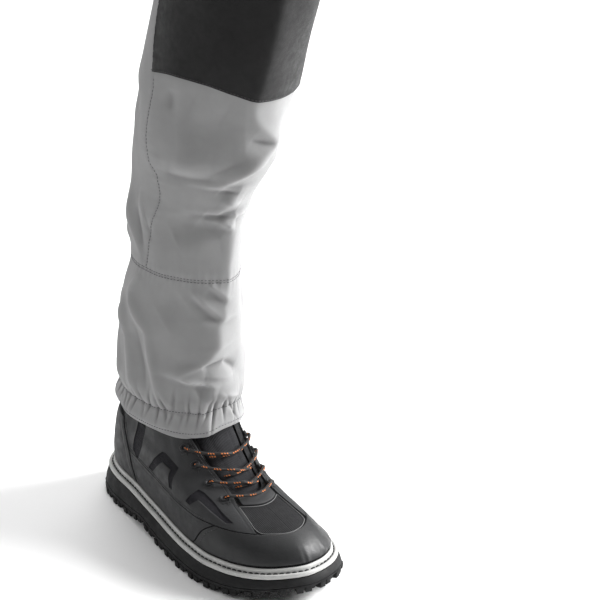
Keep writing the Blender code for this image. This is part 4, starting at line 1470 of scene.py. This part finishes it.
def cut_windows(panel):
    """Open the windows in a quarter, so that the mesh under it shows."""
    for loop in (COLLAR_WINDOW, SIDE_WINDOW, FRONT_WINDOW):
        count = len(loop)
        points = [(x, y, z) for y in (-CUTTER_HALF, CUTTER_HALF) for x, z in loop]
        placed = [((x - HEEL_REACH) * MM, y * MM, z * MM) for x, y, z in points]
        faces = [tuple(range(count)), tuple(reversed(range(count, 2 * count)))]
        faces += [(j, (j + 1) % count, count + (j + 1) % count, count + j) for j in range(count)]
        mesh = bpy.data.meshes.new("window_cutter")
        mesh.from_pydata(placed, [], faces)
        cutter = bpy.data.objects.new("window_cutter", mesh)
        bpy.context.scene.collection.objects.link(cutter)
        turn_outward(cutter)
        cut = panel.modifiers.new("window", "BOOLEAN")
        cut.operation = "DIFFERENCE"
        cut.object = cutter
        depsgraph = bpy.context.evaluated_depsgraph_get()
        shaped = bpy.data.meshes.new_from_object(panel.evaluated_get(depsgraph))
        panel.modifiers.remove(cut)
        panel.data = shaped
        bpy.data.objects.remove(cutter, do_unlink=True)
    panel.data.shade_smooth()
    panel.data.set_sharp_from_angle(angle=CRISP)


def make_window_mesh(name, side):
    """Mesh set a little below the quarter's face; it shows only in the windows."""
    v = np.linspace(WINDOW_MESH_LOW, WINDOW_MESH_TOP, 36)
    share = np.linspace(0.0, 1.0, 70)
    first = quarter_front(v) + WINDOW_MESH_INSET
    last = counter_edge(v) - WINDOW_MESH_INSET
    theta = side * (first[:, None] + share * (last - first)[:, None])
    lift = OVERLAY_TOP - WINDOW_SINK
    outer = upper_face(v[:, None], theta, lift)
    inner = upper_face(v[:, None], theta, lift - WINDOW_MESH_THICK)
    piece = turn_outward(add_shell(name, outer, inner, [WINDOW_MESH]))


def on_side(side, first, last):
    """Front and back edge of a medial panel, or both mirrored for the lateral side."""
    if side > 0.0:
        return first, last
    return lambda v: -last(v), lambda v: -first(v)


def make_overlays():
    cap = add_overlay(
        "toe_cap_detail",
        OVERLAY_LOW,
        RAND_TOP,
        lambda v: -cap_edge(v),
        cap_edge,
        CAP,
        toe_pleats,
    )
    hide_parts("toe_cap")
    counter = add_overlay(
        "heel_counter_detail",
        OVERLAY_LOW,
        COUNTER_TOP,
        lambda v: counter_edge(v) + SEAM,
        lambda v: 2.0 * pi - counter_edge(v) - SEAM,
        SYNTHETIC,
        counter_relief,
    )
    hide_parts("heel_counter")
    bridge = add_overlay(
        "throat_bridge_detail",
        BRIDGE_LOW,
        BRIDGE_TOP,
        lambda v: np.full(np.shape(v), -BRIDGE_HALF),
        lambda v: np.full(np.shape(v), BRIDGE_HALF),
        SYNTHETIC,
    )
    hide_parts("throat_bridge")
    panels = [cap, counter, bridge]
    for side, word in ((-1.0, "lateral"), (1.0, "medial")):
        edges = on_side(side, lambda v: cap_edge(v) + 2.0 * SEAM, lambda v: counter_edge(v) - SEAM)
        fronts = on_side(side, quarter_front, lambda v: counter_edge(v) - SEAM)
        rand = add_overlay("rand_%s_detail" % word, OVERLAY_LOW, RAND_TOP, *edges, SYNTHETIC, rand_relief)
        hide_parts("rand_" + word)
        quarter = add_overlay(
            "quarter_%s_detail" % word, QUARTER_LOW, QUARTER_TOP, *fronts, SYNTHETIC, quarter_relief
        )
        cut_windows(quarter)
        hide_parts("quarter_" + word)
        panels += [rand, quarter]
        make_window_mesh("window_mesh_" + word, side)


STITCH_SAMPLES = 120
STITCH_LIFT = OVERLAY_TOP + 0.05
SOLE_STITCHES = QUARTER_LOW + 0.16
SOLE_STITCHES_FIRST = 1.0
SOLE_STITCHES_LAST = 1.95
STITCHED_EDGES = [
    # edge, lowest slice, highest slice, angle from the edge to its stitches
    (cap_edge, 1.2, RAND_TOP - 0.1, -0.045),
    (counter_edge, 1.2, COUNTER_TOP - 0.1, -0.045),
    (quarter_front, 5.2, QUARTER_TOP - 0.2, 0.07),
]


def make_boot_stitches():
    rows = []
    for side in (-1.0, 1.0):
        for edge, lowest, highest, beside in STITCHED_EDGES:
            v = np.linspace(lowest, highest, STITCH_SAMPLES)
            rows.append(upper_row(v, side * (edge(v) + beside), STITCH_LIFT))
        theta = side * np.linspace(SOLE_STITCHES_FIRST, SOLE_STITCHES_LAST, STITCH_SAMPLES)
        rows.append(upper_row(SOLE_STITCHES, theta, STITCH_LIFT))
    thread = add_stitches("boot_stitches", rows, *BOOT_STITCH, BOOT_THREAD)


VAMP_PANEL = [
    # slice, angle: corners of the mesh panel's light piping
    (4.88, -0.43),
    (3.60, -0.468),
    (3.27, -0.42),
    (3.23, 0.00),
    (3.27, 0.42),
    (3.60, 0.468),
    (4.88, 0.43),
]
PIPING_LIFT = 0.35
PIPING_RADIUS = 0.42
PIPING_STEP = 1.0


def make_piping():
    """Light piping around the mesh panel of the vamp."""
    run = np.linspace(0.0, 1.0, 200)
    post = np.linspace(0.0, 1.0, len(VAMP_PANEL))
    v = smooth(run, post, column(VAMP_PANEL, 0))
    theta = smooth(run, post, column(VAMP_PANEL, 1))
    top_theta = np.linspace(VAMP_PANEL[-1][1], VAMP_PANEL[0][1], 60)
    around_panel = upper_face(v, theta, PIPING_LIFT)
    top = upper_face(VAMP_PANEL[0][0], top_theta, PIPING_LIFT)
    paths = [evenly(path, PIPING_STEP) for path in (around_panel, top)]
    piece = add_tubes("vamp_piping", paths, PIPING_RADIUS, [PIPING], sides=8)


# Eyelets and lace
EYELETS = [
    # lateral_slice, lateral_angle, medial_slice, medial_angle
    (5.40, -0.55, 5.65, 0.50),
    (6.65, -0.66, 6.75, 0.59),
    (7.65, -0.79, 7.70, 0.70),
    (8.42, -0.89, 8.45, 0.74),
]
EYELET_LONG = 5.0
EYELET_TALL = 3.6
EYELET_SEAT = 2.6
EYELET_THICK = 1.1
EYELET_SIDES = 28
LACE_CLEAR = 0.8
LACE_OVER = EYELET_SEAT + EYELET_THICK + LACE_RADIUS + LACE_CLEAR
LACE_TUCK = 3.6
LACE_TUCK_LOWEST = 6.5
LACE_LOW = 1.9
LACE_CLIMB = 0.65
LACE_WEAVE = 1.9
LACE_RISE = 2.2
LACE_SLOT = 1.6
LACE_END = 0.07
LACE_STEP = 0.45
LACE_SIDES = 20
CROSSING_AT = 0.42
CROSSING_HALF = 0.16
EYELET_SECTION = [
    # share of the size, rise
    (1.00, -0.9),
    (1.00, 0.6),
    (0.90, 1.1),
    (0.66, 1.1),
    (0.54, 0.6),
    (0.52, -0.9),
]
TAB_BARS = [
    # ahead, up, half_length, half_height
    (-1.0, -5.6, 4.6, 0.8),
    (0.5, -7.4, 0.9, 2.4),
]
TAB_LAYERS = [
    # rise, share of the size
    (1.7, 1.0),
    (2.5, 0.8),
]


def frame_on_upper(v, theta):
    """Point on the upper with its directions forward around the slice, up the slices and out."""
    spot = upper_point(v, theta)
    out = upper_normal(v, theta)
    rise = upper_point(v + SLICE_STEP, theta) - upper_point(v - SLICE_STEP, theta)
    up = unit(rise - out * np.dot(rise, out))
    return spot, np.cross(up, out), up, out


def make_eyelet(name, v, theta):
    """Moulded frame around a lace slot, with the small cross-shaped tab beneath it."""
    spot, ahead, up, out = frame_on_upper(v, theta)
    turn = angles(EYELET_SIDES)[:, None]
    flat = EYELET_LONG * np.cos(turn) * ahead + EYELET_TALL * np.sin(turn) * up
    rings = [spot + share * flat + (EYELET_SEAT + rise) * out for share, rise in EYELET_SECTION]
    points = np.concatenate(rings)
    faces = grid_faces(len(rings), EYELET_SIDES, True)[0].tolist()
    for at_ahead, at_up, half_long, half_tall in TAB_BARS:
        base = len(points)
        bar = []
        for rise, size in TAB_LAYERS:
            for a, b in ((-1, -1), (1, -1), (1, 1), (-1, 1)):
                flat = (at_ahead + a * half_long * size) * ahead + (at_up + b * half_tall * size) * up
                bar.append(spot + flat + rise * out)
        points = np.concatenate([points, bar])
        faces.append(tuple(base + 4 + j for j in range(4)))
        faces += [(base + j, base + (j + 1) % 4, base + 4 + (j + 1) % 4, base + 4 + j) for j in range(4)]
    piece = turn_outward(add_piece(name + "_detail", points, faces, [PLASTIC], sharp=MOULDED))
    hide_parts(name)


def lace_path(first, last, tucked, weave):
    """Route from one eyelet into the slot of another; a tucked end starts under the eyestay's edge."""
    share = np.linspace(0.0, 1.0, 60)
    begin, start = first
    if tucked:
        side = np.sign(start)
        begin = max(begin + LACE_CLIMB, LACE_TUCK_LOWEST)
        start = side * throat_angle(begin, side, -LACE_TUCK)
    v = begin + share * (last[0] - begin)
    theta = start + share * (last[1] - start)
    low = LACE_LOW if tucked else LACE_OVER
    lift = low + (LACE_OVER - low) * np.clip(share * LACE_RISE, 0.0, 1.0)
    lift = lift + weave * bump(share - CROSSING_AT, CROSSING_HALF)
    dip = np.clip((share - 1.0 + LACE_END) / LACE_END, 0.0, 1.0) ** 2
    if not tucked:
        dip = dip + np.clip((LACE_END - share) / LACE_END, 0.0, 1.0) ** 2
    lift = lift - dip * (LACE_OVER - LACE_SLOT)
    return evenly(upper_face(v, theta, lift), LACE_STEP)


FLECK_EVERY = 12.4
FLECK_RUN = 6.4
FLECK_PITCH = 2.6
FLECK_STAGGER = 1.5
FLECK_SLANT = 0.9
FLECK_LENGTH = 0.50
FLECK_WIDTH = 0.48
FLECKS_AROUND = 3.0


def fleck_slots(uv):
    """Slot 1 on the small slanting flecks of the braid, slot 0 elsewhere."""
    turn = uv[:, 0] / (2.0 * pi * LACE_RADIUS) * FLECKS_AROUND
    run = uv[:, 1]
    group = (run + FLECK_STAGGER * np.floor(turn)) % FLECK_EVERY < FLECK_RUN
    dash = (run / FLECK_PITCH + FLECK_SLANT * turn) % 1.0 < FLECK_LENGTH
    return (group & dash & (turn % 1.0 < FLECK_WIDTH)).astype(int)


def make_laces():
    lateral = [(row[0], row[1]) for row in EYELETS]
    medial = [(row[2], row[3]) for row in EYELETS]
    groups = [("lace_bar", [lace_path(lateral[0], medial[0], False, 0.0)])]
    for pair in range(len(EYELETS) - 1):
        over = lace_path(medial[pair], lateral[pair + 1], True, LACE_WEAVE)
        under = lace_path(lateral[pair], medial[pair + 1], True, -LACE_WEAVE)
        groups.append(("lace_cross_%d" % (pair + 1), [over, under]))
    shades = [LACE_GREY, LACE_FLECK]
    for name, paths in groups:
        piece = add_tubes(name + "_braid", paths, LACE_RADIUS, shades, LACE_SIDES, fleck_slots)
        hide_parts(name)


# Wader leg
GUARD_COLUMNS = 400
LEG_COLUMNS = 320
GUARD_ROWS = [
    # lowest height, highest height, count
    (HEM, 144.0, 48),
    (145.6, GUARD_SEAM - 0.03, 72),
]
LEG_ROWS = [
    # lowest height, highest height, count
    (GUARD_SEAM, 282.0, 12),
    (283.5, 420.0, 98),
    (423.0, LEG_TOP, 43),
]
# Reach and depth of the map that sets painted shade in the fabric's hollows and painted light on its folds
HOLLOW_REACH = 8.0
HOLLOW_DEPTH = 1.9


def hollows(out, z, columns):
    """How far each place of the fabric stands out from its surroundings, between -1 and 1; it sets the
    painted shade and light.
    """
    even = np.linspace(z[0], z[-1], int(z[-1] - z[0]))
    level = np.stack([np.interp(even, z, out[:, c]) for c in range(columns)], 1)
    around_leg = int(HOLLOW_REACH * columns / ROUND)
    wide = np.concatenate([level[:, -around_leg:], level, level[:, :around_leg]], 1)
    wide = np.pad(wide, ((int(HOLLOW_REACH), int(HOLLOW_REACH)), (0, 0)), mode="edge")
    for axis, reach in ((0, int(HOLLOW_REACH)), (1, around_leg)):
        kernel = np.hanning(2 * reach + 3)[1:-1]
        kernel = kernel / kernel.sum()
        wide = np.apply_along_axis(lambda line: np.convolve(line, kernel, mode="valid"), axis, wide)
    proud = level - wide
    back = np.stack([np.interp(z, even, proud[:, c]) for c in range(columns)], 1)
    return np.clip(back / HOLLOW_DEPTH, -1.0, 1.0)


def flat_sizes(grid):
    """Greatest width and length of a grid along its surface in metres, and its area."""
    width = step_lengths(grid, 1).sum(axis=1).max() * MM
    length = step_lengths(grid, 0).sum(axis=0).max() * MM
    a = grid[1:, 1:] - grid[:-1, :-1]
    b = grid[1:, :-1] - grid[:-1, 1:]
    area = 0.5 * np.linalg.norm(np.cross(a, b), axis=-1).sum() * MM * MM
    return width, length, area


def make_leg_tube(name, node, rows, columns):
    """A folded tube of fabric, with its flat sizes. Rows are runs of heights."""
    heights = np.concatenate([np.linspace(*row) for row in rows])
    z, phi = np.meshgrid(heights, angles(columns) - pi, indexing="ij")
    out = cloth(z, phi)
    outer = leg_face(z, phi, out)
    inner = leg_face(z, phi, out - FABRIC_WALL)
    piece = add_shell(name, outer, inner, [FABRIC], wrap=True)
    # Painted shade and painted light: each point keeps how far it stands out, which darkens or lightens the
    # fabric's colour
    shade = piece.data.attributes.new("painted_crease_shade", "FLOAT", "POINT")
    shade.data.foreach_set("value", np.tile(hollows(out, heights, columns).ravel(), 2))
    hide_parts(node)
    return piece, *flat_sizes(np.concatenate([outer, outer[:, :1]], 1))


KNEE_EDGE = [
    # angle, height
    (-1.80, 469.0),
    (-1.45, 473.0),
    (-1.00, 470.0),
    (-0.60, 463.0),
    (-0.20, 456.0),
    (0.50, 454.0),
    (1.20, 460.0),
    (1.80, 464.0),
]
KNEE_HALF = 1.80
KNEE_SPREAD = 0.27
KNEE_OUT = 1.7
KNEE_UNDER = 0.3
KNEE_EDGE_OUT = 0.35
KNEE_ROUND = 1.0
KNEE_FIRST_ROWS = [0.0, 0.006, 0.015]
KNEE_EVEN_ROWS = 0.03
KNEE_RADIUS = 60.0

# Stitched lines of the leg: heights, and distances from the cloth and from the knee panel's edges
KNEE_STITCH_RISE = 2.2
KNEE_STITCH_INSET = 0.035
KNEE_STITCH_LOW = 473.0
STITCH_END = LEG_TOP - 2.0
SIDE_STITCH_LOW = GUARD_SEAM + 3.0
SIDE_STITCH_TOP = 466.0
SEAM_STITCH_LIFT = 0.15
KNEE_STITCH_LIFT = KNEE_OUT + 0.1
STITCHED_HEIGHTS = [GUARD_SEAM + 1.5, GUARD_SEAM - 1.2, CASING, HEM + HEM_LINE[1]]


def knee_edge(phi):
    return along(KNEE_EDGE, 1, np.clip(phi, -KNEE_HALF, KNEE_HALF))


def make_knee_panel():
    """Reinforcement over the front of the leg, with a rounded edge."""
    share = np.concatenate([KNEE_FIRST_ROWS, np.linspace(KNEE_EVEN_ROWS, 1.0, 60)])
    turn = np.linspace(-1.0, 1.0, 180)
    phi = turn[None] * (KNEE_HALF + KNEE_SPREAD * share)[:, None]
    low = knee_edge(turn * KNEE_HALF)
    z = low[None] + share[:, None] * (LEG_TOP - low[None])
    side = (1.0 - np.abs(turn))[None] * KNEE_HALF * KNEE_RADIUS
    edge = np.minimum(side, z - low[None])
    rise = np.sqrt(1.0 - (1.0 - np.clip(edge / KNEE_ROUND, 0.0, 1.0)) ** 2)
    out = cloth(z, phi)
    outer = leg_face(z, phi, out + KNEE_EDGE_OUT + (KNEE_OUT - KNEE_EDGE_OUT) * rise)
    inner = leg_face(z, phi, out + KNEE_UNDER)
    piece = add_shell("knee_panel_cloth", outer, inner, [KNEE_FABRIC])
    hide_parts("knee_panel")


def make_leg_stitches():
    turn = np.linspace(-pi, pi, 1200)
    rows = []
    for height in STITCHED_HEIGHTS:
        rows.append(leg_row(np.full(len(turn), height), turn, SEAM_STITCH_LIFT))
    z = np.linspace(SIDE_STITCH_LOW, STITCH_END, 700)
    z = z[z < SIDE_STITCH_TOP]
    for side in (-1.0, 1.0):
        rows.append(leg_row(z, side * along(SIDE_SEAM, 1, z), SEAM_STITCH_LIFT))
    thread = add_stitches("leg_stitches", rows, *SEAM_STITCH, SEAM_THREAD)
    phi = np.linspace(-KNEE_HALF, KNEE_HALF, 500)
    rows = [leg_row(knee_edge(phi) + KNEE_STITCH_RISE, phi, KNEE_STITCH_LIFT)]
    z = np.linspace(KNEE_STITCH_LOW, STITCH_END, 160)
    for side in (-1.0, 1.0):
        low = float(knee_edge(side * KNEE_HALF))
        widest = KNEE_HALF - KNEE_STITCH_INSET + KNEE_SPREAD * (z - low) / (LEG_TOP - low)
        rows.append(leg_row(z, side * widest, KNEE_STITCH_LIFT))
    thread = add_stitches("knee_stitches", rows, *KNEE_STITCH, BOOT_THREAD)


def make_leg():
    guard, width, length, area = make_leg_tube(
        "gravel_guard_cloth", "gravel_guard", GUARD_ROWS, GUARD_COLUMNS
    )
    leg, width, length, area = make_leg_tube("leg_shell_cloth", "leg_shell", LEG_ROWS, LEG_COLUMNS)


# Studio
CAMERA_PLACE = (1.5527, -0.9816, 0.9568)
CAMERA_AHEAD = (-0.7976, 0.6032)
CAMERA_PITCH = np.radians(22.2)
CAMERA_LENS = 120.36
SENSOR_WIDTH = 36.0
LIGHTS = [
    # name, place_x, place_y, place_z, aim_x, aim_y, aim_z, size, power
    ("key", 0.875, 1.346, 0.98, 0.06, 0.01, 0.26, 0.9, 80.0),
    ("left", -1.20, -1.40, 0.95, 0.06, 0.01, 0.26, 1.0, 8.0),
    ("backdrop", -1.50, 1.30, 1.90, -1.50, 1.30, 0.0, 2.4, 60.0),
]
OVERHEAD_LIGHT = 0.80
OVERHEAD_SPREAD = 1.7
WORLD_LIGHT = 0.20
FLOOR_HALF = 8.0
FLOOR_ROUGHNESS = 0.9
FLOOR_BLOTCH = 3.0
FLOOR_DARK = (0.90, 0.90, 0.90)
FLOOR_LIGHT = (0.92, 0.92, 0.92)


def make_studio():
    scene = bpy.context.scene
    data = bpy.data.cameras.new("camera")
    data.lens = CAMERA_LENS
    data.sensor_width = SENSOR_WIDTH
    camera = bpy.data.objects.new("camera", data)
    scene.collection.objects.link(camera)
    level = np.cos(CAMERA_PITCH)
    ahead = Vector((CAMERA_AHEAD[0] * level, CAMERA_AHEAD[1] * level, -np.sin(CAMERA_PITCH)))
    camera.location = CAMERA_PLACE
    camera.rotation_euler = ahead.to_track_quat("-Z", "Y").to_euler()
    scene.camera = camera
    for name, place_x, place_y, place_z, aim_x, aim_y, aim_z, size, power in LIGHTS:
        data = bpy.data.lights.new(name, "AREA")
        data.energy = power
        data.size = size
        light = bpy.data.objects.new(name, data)
        scene.collection.objects.link(light)
        toward = Vector((aim_x - place_x, aim_y - place_y, aim_z - place_z))
        light.location = (place_x, place_y, place_z)
        light.rotation_euler = toward.to_track_quat("-Z", "Y").to_euler()
    data = bpy.data.lights.new("overhead", "SUN")
    data.energy = OVERHEAD_LIGHT
    data.angle = OVERHEAD_SPREAD
    scene.collection.objects.link(bpy.data.objects.new("overhead", data))
    world = bpy.data.worlds.new("studio")
    world.use_nodes = True
    sky = world.node_tree.nodes["Background"]
    sky.inputs["Color"].default_value = (1.0, 1.0, 1.0, 1.0)
    sky.inputs["Strength"].default_value = WORLD_LIGHT
    scene.world = world
    scene.view_settings.view_transform = "Standard"
    made, tree, shader = start_material("floor_pale", FLOOR_ROUGHNESS)
    tint(tree, shader, noise(tree, places(tree), FLOOR_BLOTCH), FLOOR_DARK, FLOOR_LIGHT)
    mesh = bpy.data.meshes.new("floor")
    signs = ((-1.0, -1.0), (1.0, -1.0), (1.0, 1.0), (-1.0, 1.0))
    mesh.from_pydata([(x * FLOOR_HALF, y * FLOOR_HALF, 0.0) for x, y in signs], [], [(0, 1, 2, 3)])
    mesh.materials.append(made)
    floor = bpy.data.objects.new("floor", mesh)
    scene.collection.objects.link(floor)


make_studio()
make_outsole()
make_midsole()
make_welt()
make_upper()
make_tongue()
make_overlays()
make_boot_stitches()
make_piping()
for pair, row in enumerate(EYELETS):
    make_eyelet("eyelet_lateral_%d" % (pair + 1), row[0], row[1])
    make_eyelet("eyelet_medial_%d" % (pair + 1), row[2], row[3])
make_laces()
make_leg()
make_knee_panel()
make_leg_stitches()

bpy.data.objects["insole"].material_slots[0].material = FOOTBED
